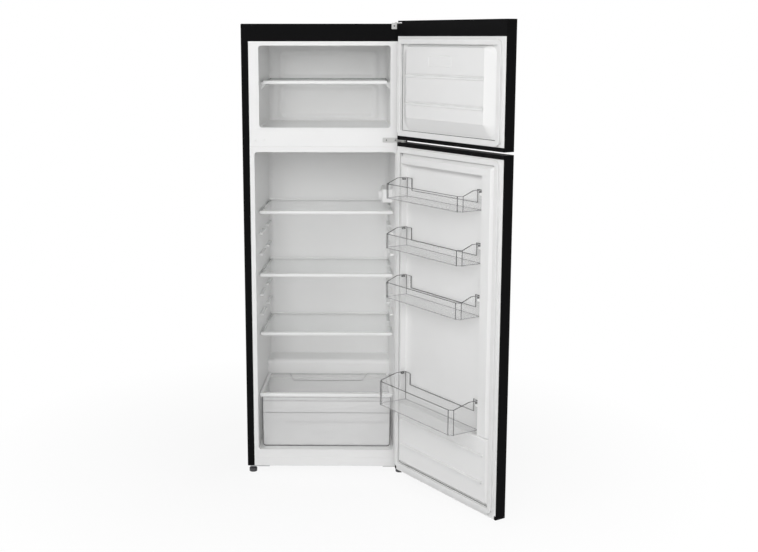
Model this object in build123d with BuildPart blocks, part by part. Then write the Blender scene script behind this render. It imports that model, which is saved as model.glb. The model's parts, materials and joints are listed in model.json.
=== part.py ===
"""Free-standing refrigerator with a freezer compartment on top, both doors open.

Millimetres. The origin is the middle of the cabinet's footprint on the floor, +Z is up and the
doors face -Y. The doors hang on the right and stand open, with the drawer and shelves pushed in.
"""
import os
from math import cos, radians, sin, sqrt

from build123d import *

os.makedirs("parts", exist_ok=True)

# Cabinet: heights stack from the floor, depths run back from the front plane
cab_w = 600.0
cab_d = 530.0
foot_h = 28.0
sill_h = 65.0
fridge_in_h = 1136.0
mullion_h = 89.0
freezer_in_h = 293.0
roof_t = 77.0
sheet = 1.0
liner_t = 2.0
side_flange = 26.0
top_band = 62.0
rail_h = 34.0
rail_t = 2.0
freezer_lip = 8.0
strip_h = 61.0
strip_t = 2.5
overcut = 1.0

# Compartments: the walls draw in towards the back
fridge_in_w = 515.0
fridge_draft = 15.5
fridge_in_d = 452.0
freezer_in_w = 476.0
freezer_draft = 6.0
freezer_in_d = 400.0
mouth_r = 10.0
back_r = 22.0
machine_room = 155.0
hump_h = 263.0
hump_r = 18.0
machine_foam = 33.0
pad_w = 84.0
pad_h = 30.0
pad_out = 5.0
pad_spacing = 182.0
emboss_w = 378.0
emboss_heights = (128.0, 108.0)
emboss_bottoms = (8.0, 161.0)
emboss_line = 7.0
emboss_out = 4.0
emboss_r = 18.0
plate_t = 1.5
plate_w = 420.0
plate_h = 250.0

# Glass shelves and their ledges
shelf_heights = (495.0, 724.0, 965.0)
shelf_front_d = 95.0
shelf_rear_gap = 14.0
shelf_gap = 4.0
glass_t = 4.0
seat_gap = 0.3
rib_out = 12.0
rib_h = 7.0
rib_l = 118.0
rib_front_d = 114.0
rib_end_gap = 4.0
spare_ledges = 2
trim_d = 16.0
trim_h = 12.0
trim_r = 3.0
trim_lip = 2.0
rear_trim_d = 12.0
rear_trim_up = 8.0

# Freezer shelf
freezer_shelf_h = 160.0
freezer_shelf_front_d = 60.0
freezer_shelf_rear_gap = 12.0
freezer_shelf_gap = 6.0
wedge_w = 24.0
wedge_h = 30.0
wedge_d0 = 92.0
wedge_end_gap = 16.0
freezer_trim_d = 26.0
grip_w = 138.0
grip_sag = 10.0

# Crisper
cover_h = 268.0
cover_front_d = 44.0
cover_rear_gap = 8.0
cover_dip_w = 314.0
cover_dip_d = 100.0
cover_dip = 1.6
cover_dip_skew = 22.0
cover_ledge_d0 = 66.0
cover_ledge_gap = 14.0
cover_trim_h = 14.0
cover_rail_w = 10.0
drawer_side_gap = 0.3
drawer_front_d = 42.0
drawer_rear_gap = 14.0
drawer_h = 190.0
drawer_wall = 2.6
drawer_floor_gap = 1.0
drawer_shoulder = 16.0
drawer_band = 16.0
drawer_slope = 42.0
drawer_draft = 3.0
drawer_r = 12.0

# Doors: u runs from the hinge axis to the free edge, v from the axis towards the food
door_open = 123.5
door_w = 598.0
door_gap = 13.4
door_inner = 20.0
door_outer = 24.0
hinge_inset = 14.0
door_side_gap = 1.0
door_over_top = 10.0
doors_gap = 10.0
door_bottom_gap = 4.0
door_corner_r = 6.0
cap_h = 14.0
cap_wall = 3.0
top_cap_h = 20.0
top_apron = 54.0
gasket_w = 19.0
gasket_nose_w = 11.0
gasket_base_h = 6.0
gasket_air = 0.5
gasket_edge = 14.0
liner_floor_v = 12.0
ridge_v = 36.0
ridge_foot = 36.0
ridge_slope = 12.0
pocket_hinge_edge = 53.0
pocket_free_edge = 90.0
pocket_top_drop = 71.5
toe_v = 32.5
toe_top_h = 285.0
toe_foot_h = 44.0
toe_slope = 10.0
tongue_inset = 9.0
line_w = 6.0
line_cut = 3.0
toe_beads = (122.0, 218.0)
bead_w = 12.0
bead_out = 5.0
bead_slope = 3.0
plateau_v = 42.0
plateau_foot = 40.0
plateau_top_drop = 82.0
plateau_slope = 44.0
plateau_top_slope = 9.0
plateau_lines = (1390.0, 1486.0)

# Door bins
bin_hinge_gap = 6.0
bin_free_gap = 15.0
bin_back_v = 15.0
bin_wall = 2.4
bin_corner = 14.0
bin_floor_r = 4.0
bin_ear_h = 17.0
bin_ear_v = 58.0
bin_ear_w = 30.0
bin_ear_r = 6.0
bin_back_drop = 28.0
bin_bottoms = (292.0, 690.0, 871.0, 1050.0)
bin_walls = (91.0, 58.0, 53.0, 53.0)
bin_fronts = (138.0, 114.0, 114.0, 114.0)
lug_gap = 1.0
lug_h = 9.0
lug_v0 = 22.0
lug_v1 = 34.0
hook_out = 4.5
hook_h = 4.0
hook_drop = 4.0

# Hinges
arm_t = 3.0
arm_half = 7.0
pin_r = 4.0
pin_fit = 0.05
bush_r = 7.0
bush_fit = 0.1
bush_flange_r = 10.0
bush_flange_t = 1.0
boss_l = 24.0
boss_h = 26.0
arm_air = 2.0
slot_wall = 2.0
pin_reach = 11.0
upper_plate_w = 58.0
upper_plate_d = 70.0
upper_tab_w = 19.0
upper_tab_h = 22.0
upper_tab_x = 250.0
middle_plate_w = 74.0
middle_plate_h = 17.0
middle_plate_inset = 2.0
lower_plate_w = 84.0
lower_plate_d = 60.0
collar_r = 8.0
collar_air = 0.3
tab_hole_r = 2.5
screw_r = 4.0
screw_h = 2.0
screw_shank_r = 2.0
screw_fit = 0.1
screw_edge = 14.0

# Lamp and thermostat housing on the right wall
box_l = 150.0
box_w = 40.0
box_h = 50.0
box_front_d = 200.0
box_above_shelf = 20.0
box_wall = 2.0
box_r = 8.0
lens_l = 74.0
lens_h = 30.0
lens_out = 3.0
lens_fit = 0.2
lens_flange = 2.0
lens_edge = 14.0
board_t = 1.6
board_behind = 16.0
knob_r = 15.0
knob_t = 12.0
knob_d = 34.0
knob_flutes = 18
knob_flute_r = 1.3
knob_pointer_w = 2.4
knob_pointer_t = 1.0
knob_shaft_r = 3.0
knob_clip_r = 5.0
knob_clip_t = 1.5
knob_gap = 0.4

# Feet
foot_r = 15.0
foot_pad_h = 16.0
foot_inset_x = 19.0
foot_inset_d = 20.0
foot_edge = 1.5
foot_shoulder = 3.0
foot_hex_r = 9.0
foot_hex_h = 5.0
stud_r = 4.0
stud_up = 14.0
stud_fit = 0.08
stud_room = 2.0
rear_foot_w = 46.0
rear_foot_d = 38.0
rear_foot_r = 6.0
rear_foot_taper = 8.0
rear_foot_inset_x = 46.0
rear_foot_inset_y = 46.0

# Machine compartment and condenser at the back
rail_plate_t = 2.0
rail_lip = 16.0
rail_gap = 12.0
pump_l = 196.0
pump_w = 132.0
pump_h = 152.0
pump_r = 58.0
pump_dome_r = 34.0
pump_seam_h = 8.0
pump_seam_out = 5.0
pump_x = -70.0
pump_foot_l = 214.0
pump_foot_w = 112.0
pump_foot_t = 2.5
pump_clear = 4.0
fence_w = 52.0
fence_h = 58.0
fence_out = 6.0
stub_r = 5.0
stub_l = 10.0
stub_h = 46.0
stub_spacing = 36.0
grommet_spacing_x = 190.0
grommet_spacing_y = 88.0
grommet_r = 10.0
grommet_neck_r = 6.0
grommet_top_r = 8.5
grommet_low = 8.0
grommet_h = 14.0
grommet_fit = 0.1
terminal_l = 62.0
terminal_w = 34.0
terminal_h = 66.0
terminal_r = 4.0
gland_r = 7.0
gland_l = 12.0
gland_bore_r = 3.5
tray_l = 150.0
tray_w = 112.0
tray_h = 26.0
tray_wall = 2.0
pipe_r = 3.0
pipe_bend = 18.0
capillary_r = 1.5
suction_x = -212.0
drier_r = 9.0
drier_neck_r = 4.0
drier_neck = 12.0
drier_l = 84.0
drier_h = 104.0
drier_inset_x = 38.0
drier_inset_y = 30.0
pipe_loop = 26.0
capillary_y = 55.0
coil_r = 2.5
coil_w = 460.0
coil_low = 340.0
coil_pitch = 84.0
coil_runs = 14
coil_air = 22.0
coil_lead_r = 30.0
coil_lead = 120.0
coil_tail = 60.0
wire_r = 0.8
wire_pitch = 20.0
wire_count = 23
wire_over = 20.0
wire_fit = 0.1
bracket_w = 14.0
bracket_h = 34.0
bracket_over = 4.0
bracket_x = 170.0
bracket_runs = (1, 12)

# Places worked out from the sizes above
y_front = -cab_d / 2
y_back = cab_d / 2
z_base = foot_h
z_fridge0 = z_base + sill_h
z_fridge1 = z_fridge0 + fridge_in_h
z_freezer0 = z_fridge1 + mullion_h
z_freezer1 = z_freezer0 + freezer_in_h
z_top = z_freezer1 + roof_t
z_strip1 = z_freezer0 - freezer_lip
z_strip0 = z_strip1 - strip_h
z_hump = z_fridge0 + hump_h
fridge_back_w = fridge_in_w - 2 * fridge_draft
freezer_back_w = freezer_in_w - 2 * freezer_draft
machine_d = cab_d - machine_room
hump_d = machine_d - machine_foam - liner_t
shelf_back_d = fridge_in_d - shelf_rear_gap
rib_rear_d = shelf_back_d - rib_end_gap - rib_l
freezer_shelf_back_d = freezer_in_d - freezer_shelf_rear_gap
freezer_shelf_w = freezer_back_w - 2 * freezer_shelf_gap
wedge_d1 = freezer_shelf_back_d - wedge_end_gap
cover_back_d = hump_d - cover_rear_gap
cover_ledge_d1 = cover_back_d - cover_ledge_gap
drawer_back_d = hump_d - drawer_rear_gap
z_machine = z_hump - liner_t - machine_foam
z_gap = z_fridge1 + mullion_h / 2
hinge_x = cab_w / 2 - hinge_inset
hinge_y = y_front - door_gap - door_inner
u_hinge = door_side_gap - hinge_inset
u_free = u_hinge + door_w
pocket_hinge_u = u_hinge + pocket_hinge_edge
pocket_free_u = u_free - pocket_free_edge
bin_hinge_u = pocket_hinge_u + bin_hinge_gap
bin_free_u = pocket_free_u - bin_free_gap
z_fridge_door0 = z_base + door_bottom_gap
z_fridge_door1 = z_gap - doors_gap / 2
z_freezer_door0 = z_gap + doors_gap / 2
z_freezer_door1 = z_top + door_over_top
inner_x = cab_w / 2 - sheet
flange_x = cab_w / 2 - side_flange
foot_x = cab_w / 2 - foot_inset_x
foot_y = y_front + foot_inset_d
y_machine = y_front + machine_d
gasket_v = door_inner + door_gap - gasket_air
swing = radians(door_open)

CORNER = (Align.MIN, Align.MIN, Align.MIN)
door = Plane(origin=(hinge_x, hinge_y, 0), x_dir=(-cos(swing), -sin(swing), 0), z_dir=(0, 0, 1))


def at_depth(d):
    """Y at a depth behind the cabinet's front plane."""
    return y_front + d


def at_height(h):
    """Z at a height above the cabinet's underside."""
    return z_base + h


def facing(y):
    """A plane across the cabinet, seen from the front, in X and Z."""
    return Plane.XZ.offset(-y)


def door_face(v):
    """A plane along the door, seen from the food side, in u and Z, facing the food."""
    return Plane(origin=door.from_local_coords((0, -v, 0)), x_dir=door.x_dir, z_dir=-door.y_dir)


def on_door(u, v, z):
    """A place on the door, turned with it."""
    return door.location * Pos(u, -v, z)


def block(x, y, z, mode=Mode.ADD):
    """A block between limits in X, Y and Z."""
    with Locations((x[0], y[0], z[0])):
        Box(x[1] - x[0], y[1] - y[0], z[1] - z[0], align=CORNER, mode=mode)


def door_block(u, v, z, mode=Mode.ADD):
    """A block between limits along the door, towards the food, and in height."""
    with Locations(on_door(u[0], v[1], z[0])):
        Box(u[1] - u[0], v[1] - v[0], z[1] - z[0], align=CORNER, mode=mode)


def keep(piece, node):
    """Labels a finished piece and writes it."""
    piece.part.label = node
    export_step(piece.part, f"parts/{node}.step")


def wall_x(d, mouth_w=fridge_in_w, back_w=fridge_back_w, in_d=fridge_in_d):
    """Half the inner width of a compartment at a depth."""
    return (mouth_w - (mouth_w - back_w) * d / in_d) / 2


def hollow_of(mouth_w, back_w, in_d, z0, z1, grow, step=None):
    """A compartment's hollow, grown by a wall: plan, front view and side view intersected."""
    y_end = at_depth(in_d) + grow
    with BuildPart() as hollow:
        with BuildSketch(Plane.XY.offset(z0 - grow)) as plan:
            with BuildLine():
                Polyline(
                    (-mouth_w / 2 - grow, y_front),
                    (mouth_w / 2 + grow, y_front),
                    (back_w / 2 + grow, y_end),
                    (-back_w / 2 - grow, y_end),
                    close=True,
                )
            make_face()
            fillet(plan.vertices().group_by(Axis.Y)[-1], back_r + grow)
        extrude(amount=z1 - z0 + 2 * grow)
        with BuildSketch(facing(y_front)):
            with Locations((0, (z0 + z1) / 2)):
                RectangleRounded(mouth_w + 2 * grow, z1 - z0 + 2 * grow, mouth_r + grow)
        extrude(amount=-in_d - grow, mode=Mode.INTERSECT)
        if step:
            y_step = at_depth(step[0]) + grow
            z_step = step[1] - grow
            with BuildSketch(Plane.YZ) as side:
                with BuildLine():
                    Polyline(
                        (y_step, z0 - grow),
                        (y_step, z_step),
                        (y_end, z_step),
                        (y_end, z0 - grow),
                        close=True,
                    )
                make_face()
                fillet(side.vertices().sort_by_distance((y_step, z_step))[0], hump_r - grow)
            extrude(amount=mouth_w, both=True, mode=Mode.SUBTRACT)
    return hollow.part


def freezer_hollow(grow):
    """The freezer's hollow, grown by a wall."""
    return hollow_of(freezer_in_w, freezer_back_w, freezer_in_d, z_freezer0, z_freezer1, grow)


def fridge_hollow(grow):
    """The refrigerator's hollow with the machine hump, grown by a wall."""
    step = (hump_d, z_hump)
    return hollow_of(fridge_in_w, fridge_back_w, fridge_in_d, z_fridge0, z_fridge1, grow, step)


# Cabinet outer shell: two sides and a top folded from one sheet, with a front return
with BuildPart() as outer_shell:
    block((-cab_w / 2, cab_w / 2), (y_front, y_back), (z_base, z_top))
    fillet(outer_shell.edges().filter_by(Axis.Y).group_by(Axis.Z)[-1], trim_r)
    block((-inner_x, inner_x), (y_front + sheet, y_back), (z_base, z_top - sheet), mode=Mode.SUBTRACT)
    block((-flange_x, flange_x), (y_front, y_front + sheet), (z_base, z_top - top_band), mode=Mode.SUBTRACT)
keep(outer_shell, "outer_shell")

# Rear panel above the machine compartment, with a pressed field that stiffens it
field_w = cab_w - 2 * side_flange - 2 * back_r
field_h = z_top - z_machine - 4 * back_r
with BuildPart() as back_panel:
    block((-inner_x, inner_x), (y_back - sheet, y_back), (z_machine, z_top - sheet))
    with BuildSketch(facing(y_back - sheet)):
        with Locations((0, (z_machine + z_top) / 2)):
            RectangleRounded(field_w, field_h, back_r)
    extrude(amount=sheet)
    with BuildSketch(facing(y_back)):
        with Locations((0, (z_machine + z_top) / 2)):
            RectangleRounded(field_w - 2 * sheet, field_h - 2 * sheet, back_r - sheet)
    extrude(amount=sheet, mode=Mode.SUBTRACT)
keep(back_panel, "back_panel")

# Bottom pan that steps up over the machine compartment
with BuildPart() as base_pan:
    with BuildSketch(Plane.YZ.offset(-inner_x)):
        with BuildLine():
            Polyline(
                (y_front + rail_t, z_base),
                (y_machine, z_base),
                (y_machine, z_machine - sheet),
                (y_back, z_machine - sheet),
                (y_back, z_machine),
                (y_machine - sheet, z_machine),
                (y_machine - sheet, z_base + sheet),
                (y_front + rail_t, z_base + sheet),
                close=True,
            )
        make_face()
    extrude(amount=2 * inner_x)
    with Locations((foot_x, foot_y, z_base), (-foot_x, foot_y, z_base)):
        Cylinder(stud_r + stud_fit, 4 * sheet, mode=Mode.SUBTRACT)
keep(base_pan, "base_pan")

# Insulation between the shell and the two liners, with a slot for the evaporator plate
y_plate = at_depth(freezer_in_d) + liner_t
z_plate = (z_freezer0 + z_freezer1) / 2
with BuildPart() as cabinet_foam:
    with BuildSketch(Plane.YZ.offset(-inner_x)):
        with BuildLine():
            Polyline(
                (y_front + strip_t, z_base + sheet),
                (y_machine - sheet, z_base + sheet),
                (y_machine - sheet, z_machine),
                (y_back - 2 * sheet, z_machine),
                (y_back - 2 * sheet, z_top - sheet),
                (y_front + strip_t, z_top - sheet),
                close=True,
            )
        make_face()
    extrude(amount=2 * inner_x)
    fillet(cabinet_foam.edges().filter_by(Axis.Y).group_by(Axis.Z)[-1], trim_r)
    add(freezer_hollow(liner_t), mode=Mode.SUBTRACT)
    add(fridge_hollow(liner_t), mode=Mode.SUBTRACT)
    block(
        (-plate_w / 2, plate_w / 2),
        (y_plate, y_plate + plate_t),
        (z_plate - plate_h / 2, z_plate + plate_h / 2),
        mode=Mode.SUBTRACT,
    )
    with Locations((foot_x, foot_y, z_base + stud_up / 2), (-foot_x, foot_y, z_base + stud_up / 2)):
        Cylinder(stud_r + stud_room, stud_up + 2 * stud_room, mode=Mode.SUBTRACT)
keep(cabinet_foam, "cabinet_foam")

# Evaporator plate foamed in behind the freezer's rear wall
with BuildPart() as evaporator_plate:
    block(
        (-plate_w / 2, plate_w / 2),
        (y_plate, y_plate + plate_t),
        (z_plate - plate_h / 2, z_plate + plate_h / 2),
    )
keep(evaporator_plate, "evaporator_plate")

# Refrigerator liner: hollow with the machine hump, front flange, shelf ledges and air pads
shelf_gaps = list(zip(shelf_heights[:-1], shelf_heights[1:]))
ledge_heights = list(shelf_heights)
for low, high in shelf_gaps:
    ledge_heights += [low + (high - low) * step / (spare_ledges + 1) for step in range(1, spare_ledges + 1)]
ledge_runs = [(cover_h, cover_ledge_d0, cover_ledge_d1)]
for height in ledge_heights:
    ledge_runs += [(height, start, start + rib_l) for start in (rib_front_d, rib_rear_d)]
with BuildPart() as fridge_liner:
    add(fridge_hollow(liner_t))
    block((-flange_x, flange_x), (y_front, y_front + liner_t), (z_base + rail_h, z_strip0))
    add(fridge_hollow(0), mode=Mode.SUBTRACT)
    for height, d0, d1 in ledge_runs:
        with BuildSketch(Plane.XY.offset(at_height(height) - seat_gap - rib_h)):
            with BuildLine():
                Polyline(
                    (wall_x(d0) + liner_t / 2, at_depth(d0)),
                    (wall_x(d1) + liner_t / 2, at_depth(d1)),
                    (wall_x(d1) - rib_out, at_depth(d1)),
                    (wall_x(d0) - rib_out, at_depth(d0)),
                    close=True,
                )
            make_face()
            mirror(about=Plane.YZ)
        extrude(amount=rib_h)
    with BuildSketch(facing(at_depth(hump_d) + liner_t / 2)):
        with Locations((0, z_hump - hump_r - pad_h / 2)):
            with GridLocations(pad_spacing, pad_h, 2, 1):
                RectangleRounded(pad_w, pad_h, trim_r)
    extrude(amount=pad_out + liner_t / 2)
keep(fridge_liner, "fridge_liner")

# Freezer liner: front flange, wedge ledges for the shelf, two raised outlines on the rear wall
z_freezer_shelf = z_freezer0 + freezer_shelf_h
with BuildPart() as freezer_wedges:
    with BuildSketch(facing(at_depth(wedge_d0))):
        with BuildLine():
            Polyline(
                (freezer_in_w / 2 + liner_t, z_freezer_shelf - seat_gap),
                (freezer_in_w / 2 - wedge_w, z_freezer_shelf - seat_gap),
                (freezer_in_w / 2 + liner_t, z_freezer_shelf - seat_gap - wedge_h),
                close=True,
            )
        make_face()
        mirror(about=Plane.YZ)
    extrude(amount=wedge_d0 - wedge_d1)
    add(freezer_hollow(liner_t / 2), mode=Mode.INTERSECT)
with BuildPart() as freezer_liner:
    add(freezer_hollow(liner_t))
    block((-flange_x, flange_x), (y_front, y_front + liner_t), (z_strip1, z_top - top_band))
    add(freezer_hollow(0), mode=Mode.SUBTRACT)
    add(freezer_wedges.part)
    for bottom, height in zip(emboss_bottoms, emboss_heights):
        with BuildSketch(facing(at_depth(freezer_in_d) + liner_t / 2)):
            with Locations((0, z_freezer0 + bottom + height / 2)):
                RectangleRounded(emboss_w, height, emboss_r)
                inner_w = emboss_w - 2 * emboss_line
                inner_h = height - 2 * emboss_line
                RectangleRounded(inner_w, inner_h, emboss_r - emboss_line, mode=Mode.SUBTRACT)
        extrude(amount=emboss_out + liner_t / 2)
keep(freezer_liner, "freezer_liner")

# Strip between the two compartments, and the painted rail under the refrigerator's sill
with BuildPart() as mullion_strip:
    block((-flange_x, flange_x), (y_front, y_front + strip_t), (z_strip0, z_strip1))
keep(mullion_strip, "mullion_strip")

with BuildPart() as front_rail:
    block((-flange_x, flange_x), (y_front, y_front + rail_t), (z_base, z_base + rail_h))
keep(front_rail, "front_rail")


def shelf_glass(z, front_d, back_d, half_front, half_back):
    """A glass plate that follows the walls' draft."""
    with BuildPart() as glass:
        with BuildSketch(Plane.XY.offset(z)):
            with BuildLine():
                Polyline(
                    (-half_front, at_depth(front_d)),
                    (half_front, at_depth(front_d)),
                    (half_back, at_depth(back_d)),
                    (-half_back, at_depth(back_d)),
                    close=True,
                )
            make_face()
        extrude(amount=glass_t)
    return glass


def shelf_bar(y, z, half, round_edges):
    """A trim bar across a shelf, rounded along its chosen top edges."""
    with BuildPart() as bar:
        block((-half, half), y, z)
        fillet(round_edges(bar.edges().filter_by(Axis.X)), trim_r)
    return bar


def front_edges(edges):
    """The two long edges of a bar that face the user."""
    return edges.group_by(Axis.Y)[0]


def top_edges(edges):
    """The two long edges on top of a bar."""
    return edges.group_by(Axis.Z)[-1]


# Three glass shelves, each with a front and a rear trim
for shelf_name, shelf_h in zip(("lower_shelf", "middle_shelf", "upper_shelf"), shelf_heights):
    z_shelf = at_height(shelf_h)
    shelf_x0 = wall_x(shelf_front_d) - shelf_gap
    shelf_x1 = wall_x(shelf_back_d) - shelf_gap
    glass = shelf_glass(z_shelf, shelf_front_d + trim_lip, shelf_back_d - trim_lip, shelf_x0, shelf_x1)
    keep(glass, shelf_name + "_glass")
    front_bar = shelf_bar(
        (at_depth(shelf_front_d), at_depth(shelf_front_d + trim_d)),
        (z_shelf + glass_t + trim_lip - trim_h, z_shelf + glass_t + trim_lip),
        shelf_x0,
        front_edges,
    )
    rear_bar = shelf_bar(
        (at_depth(shelf_back_d - rear_trim_d), at_depth(shelf_back_d)),
        (z_shelf, z_shelf + rear_trim_up),
        shelf_x1,
        top_edges,
    )
    with BuildPart() as shelf_trims:
        add(front_bar.part)
        add(rear_bar.part)
        add(glass.part, mode=Mode.SUBTRACT)
    keep(shelf_trims, shelf_name + "_trims")

# Freezer shelf: glass in a deep front trim with an arched finger slot
freezer_trim = shelf_bar(
    (at_depth(freezer_shelf_front_d), at_depth(freezer_shelf_front_d + freezer_trim_d)),
    (z_freezer_shelf + glass_t + trim_lip - trim_h, z_freezer_shelf + glass_t + trim_lip),
    freezer_shelf_w / 2,
    front_edges,
)
freezer_glass = shelf_glass(
    z_freezer_shelf,
    freezer_shelf_front_d + freezer_trim_d - rear_trim_d / 2,
    freezer_shelf_back_d,
    freezer_shelf_w / 2,
    freezer_shelf_w / 2,
)
keep(freezer_glass, "freezer_shelf_glass")
slot_y = at_depth(freezer_shelf_front_d + freezer_trim_d - rear_trim_d / 2) - trim_r
with BuildPart() as freezer_shelf_trim:
    add(freezer_trim.part)
    add(freezer_glass.part, mode=Mode.SUBTRACT)
    with BuildSketch(Plane.XY.offset(z_freezer_shelf + glass_t + trim_lip)):
        with BuildLine():
            ThreePointArc((-grip_w / 2, slot_y), (0, slot_y - grip_sag), (grip_w / 2, slot_y))
            Line((grip_w / 2, slot_y), (-grip_w / 2, slot_y))
        make_face()
    extrude(amount=-trim_h, mode=Mode.SUBTRACT)
keep(freezer_shelf_trim, "freezer_shelf_trim")

# Crisper cover: glass with a shallow dip at the back, its front trim and a rail along each side
z_cover = at_height(cover_h)
cover_x0 = wall_x(cover_front_d) - shelf_gap
cover_x1 = wall_x(cover_back_d) - shelf_gap
cover_plate = shelf_glass(
    z_cover, cover_front_d + trim_lip, cover_back_d, cover_x0 - trim_lip, cover_x1 - trim_lip
)
cover_bar = shelf_bar(
    (at_depth(cover_front_d), at_depth(cover_front_d + trim_d)),
    (z_cover + glass_t + trim_lip - cover_trim_h, z_cover + glass_t + trim_lip),
    cover_x0,
    front_edges,
)
with BuildPart() as crisper_cover_trim:
    add(cover_bar.part)
    with BuildSketch(Plane.XY.offset(z_cover)):
        with BuildLine():
            Polyline(
                (cover_x0 - cover_rail_w, at_depth(cover_front_d + trim_d / 2)),
                (cover_x0, at_depth(cover_front_d + trim_d / 2)),
                (cover_x1, at_depth(cover_back_d)),
                (cover_x1 - cover_rail_w, at_depth(cover_back_d)),
                close=True,
            )
        make_face()
        mirror(about=Plane.YZ)
    extrude(amount=glass_t + trim_lip)
    add(cover_plate.part, mode=Mode.SUBTRACT)
keep(crisper_cover_trim, "crisper_cover_trim")
with BuildPart() as crisper_cover:
    add(cover_plate.part)
    with BuildSketch(Plane.XY.offset(z_cover + glass_t)):
        with BuildLine():
            Polyline(
                (-cover_dip_w / 2, at_depth(cover_back_d)),
                (cover_dip_skew - cover_dip_w / 2, at_depth(cover_back_d - cover_dip_d)),
                (cover_dip_w / 2 - cover_dip_skew, at_depth(cover_back_d - cover_dip_d)),
                (cover_dip_w / 2, at_depth(cover_back_d)),
                close=True,
            )
        make_face()
    extrude(amount=-cover_dip, mode=Mode.SUBTRACT)
keep(crisper_cover, "crisper_cover")


drawer_w = 2 * (wall_x(drawer_back_d) - drawer_side_gap)


def drawer_form(shrink, rise):
    """The drawer's outside, or its inside when shrunk by the wall: side view and front view."""
    y0 = at_depth(drawer_front_d) + shrink
    y1 = at_depth(drawer_back_d) - shrink
    z0 = z_fridge0 + drawer_floor_gap + shrink
    z1 = z_fridge0 + drawer_floor_gap + drawer_h
    half = drawer_w / 2 - shrink
    with BuildPart() as form:
        with BuildSketch(Plane.YZ.offset(-drawer_w / 2)):
            with BuildLine():
                Polyline(
                    (y0, z0),
                    (y0, z1 - drawer_band - drawer_slope),
                    (y0 + drawer_shoulder, z1 - drawer_band),
                    (y0 + drawer_shoulder, z1 + rise),
                    (y1, z1 + rise),
                    (y1, z0),
                    close=True,
                )
            make_face()
        extrude(amount=drawer_w)
        with BuildSketch(facing(y0)) as front:
            with BuildLine():
                Polyline(
                    (-half, z1 + rise),
                    (half, z1 + rise),
                    (half - drawer_draft, z0),
                    (drawer_draft - half, z0),
                    close=True,
                )
            make_face()
            fillet(front.vertices().group_by(Axis.Y)[0], drawer_r - shrink)
        extrude(amount=y0 - y1, mode=Mode.INTERSECT)
    return form.part


# Crisper drawer: one clear moulding with a shouldered front
with BuildPart() as crisper_drawer:
    add(drawer_form(0, 0))
    add(drawer_form(drawer_wall, drawer_wall), mode=Mode.SUBTRACT)
keep(crisper_drawer, "crisper_drawer")


def door_plan(shrink=0.0, inner=door_inner):
    """The door seen from above in u and outwards, rounded at its two outer corners."""
    with BuildSketch() as plan:
        with Locations(((u_hinge + u_free) / 2, (door_outer - shrink - inner) / 2)):
            Rectangle(door_w - 2 * shrink, door_outer - shrink + inner)
        fillet(plan.vertices().group_by(Axis.Y)[-1], door_corner_r - shrink)
    return plan.sketch


def door_prism(z0, z1, shrink=0.0, inner=door_inner, mode=Mode.ADD):
    """The door's plan between two heights."""
    extrude(door.offset(z0).location * door_plan(shrink, inner), amount=z1 - z0, mode=mode)


def door_skin(z0, z1):
    """The steel skin: front and two sides, open towards the food."""
    with BuildPart() as skin:
        door_prism(z0, z1)
        door_prism(z0, z1, sheet, door_inner + sheet, mode=Mode.SUBTRACT)
    return skin


def door_cap(z_end, z_in, boss_depth):
    """An end cap: a tray whose closed side is at z_end, with a solid boss round the hinge pin."""
    side = 1 if z_in > z_end else -1
    z_floor = z_end + side * cap_wall
    z_boss = z_end + side * boss_depth
    inner = door_inner - cap_wall
    with BuildPart() as cap:
        door_prism(min(z_end, z_in), max(z_end, z_in))
        door_prism(min(z_floor, z_in), max(z_floor, z_in), cap_wall, inner, mode=Mode.SUBTRACT)
        door_block(
            (u_hinge + cap_wall, u_hinge + boss_l),
            (cap_wall - door_outer, inner),
            (min(z_end, z_boss), max(z_end, z_boss)),
        )
    return cap


def boss_room(z0, z1):
    """Cuts the room that a cap's boss takes out of the foam."""
    door_block((u_hinge, u_hinge + boss_l), (-door_outer, door_inner), (z0, z1), mode=Mode.SUBTRACT)


def bush_hole(z_mouth, side):
    """Cuts the bush's seat and its flange's recess into a boss."""
    with Locations(on_door(0, 0, z_mouth + side * pin_reach / 2)):
        Cylinder(bush_r + bush_fit, pin_reach + 2 * bush_flange_t, mode=Mode.SUBTRACT)


def bush(z_mouth, side):
    """A flanged bush for a hinge pin, its flange outside the boss."""
    with BuildPart() as sleeve:
        with Locations(on_door(0, 0, z_mouth + side * pin_reach / 2)):
            Cylinder(bush_r, pin_reach)
        with Locations(on_door(0, 0, z_mouth - side * bush_flange_t / 2)):
            Cylinder(bush_flange_r, bush_flange_t)
        with Locations(on_door(0, 0, z_mouth)):
            Cylinder(pin_r + pin_fit, 4 * pin_reach, mode=Mode.SUBTRACT)
    return sleeve.part


def gasket_ring(z0, z1):
    """A magnetic gasket: a broad foot and a narrower nose, as two stacked frames."""
    u_mid = (u_hinge + u_free) / 2
    ring_w = door_w - 2 * gasket_edge
    inset = (gasket_w - gasket_nose_w) / 2
    nose_room = 2 * (inset + gasket_nose_w)
    with BuildPart() as ring:
        with BuildSketch(door_face(door_inner)):
            with Locations((u_mid, (z0 + z1) / 2)):
                RectangleRounded(ring_w, z1 - z0, trim_r)
                Rectangle(ring_w - 2 * gasket_w, z1 - z0 - 2 * gasket_w, mode=Mode.SUBTRACT)
        extrude(amount=gasket_base_h)
        with BuildSketch(door_face(door_inner + gasket_base_h)):
            with Locations((u_mid, (z0 + z1) / 2)):
                RectangleRounded(ring_w - 2 * inset, z1 - z0 - 2 * inset, trim_r)
                Rectangle(ring_w - nose_room, z1 - z0 - nose_room, mode=Mode.SUBTRACT)
        extrude(amount=gasket_v - door_inner - gasket_base_h)
    return ring


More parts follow.
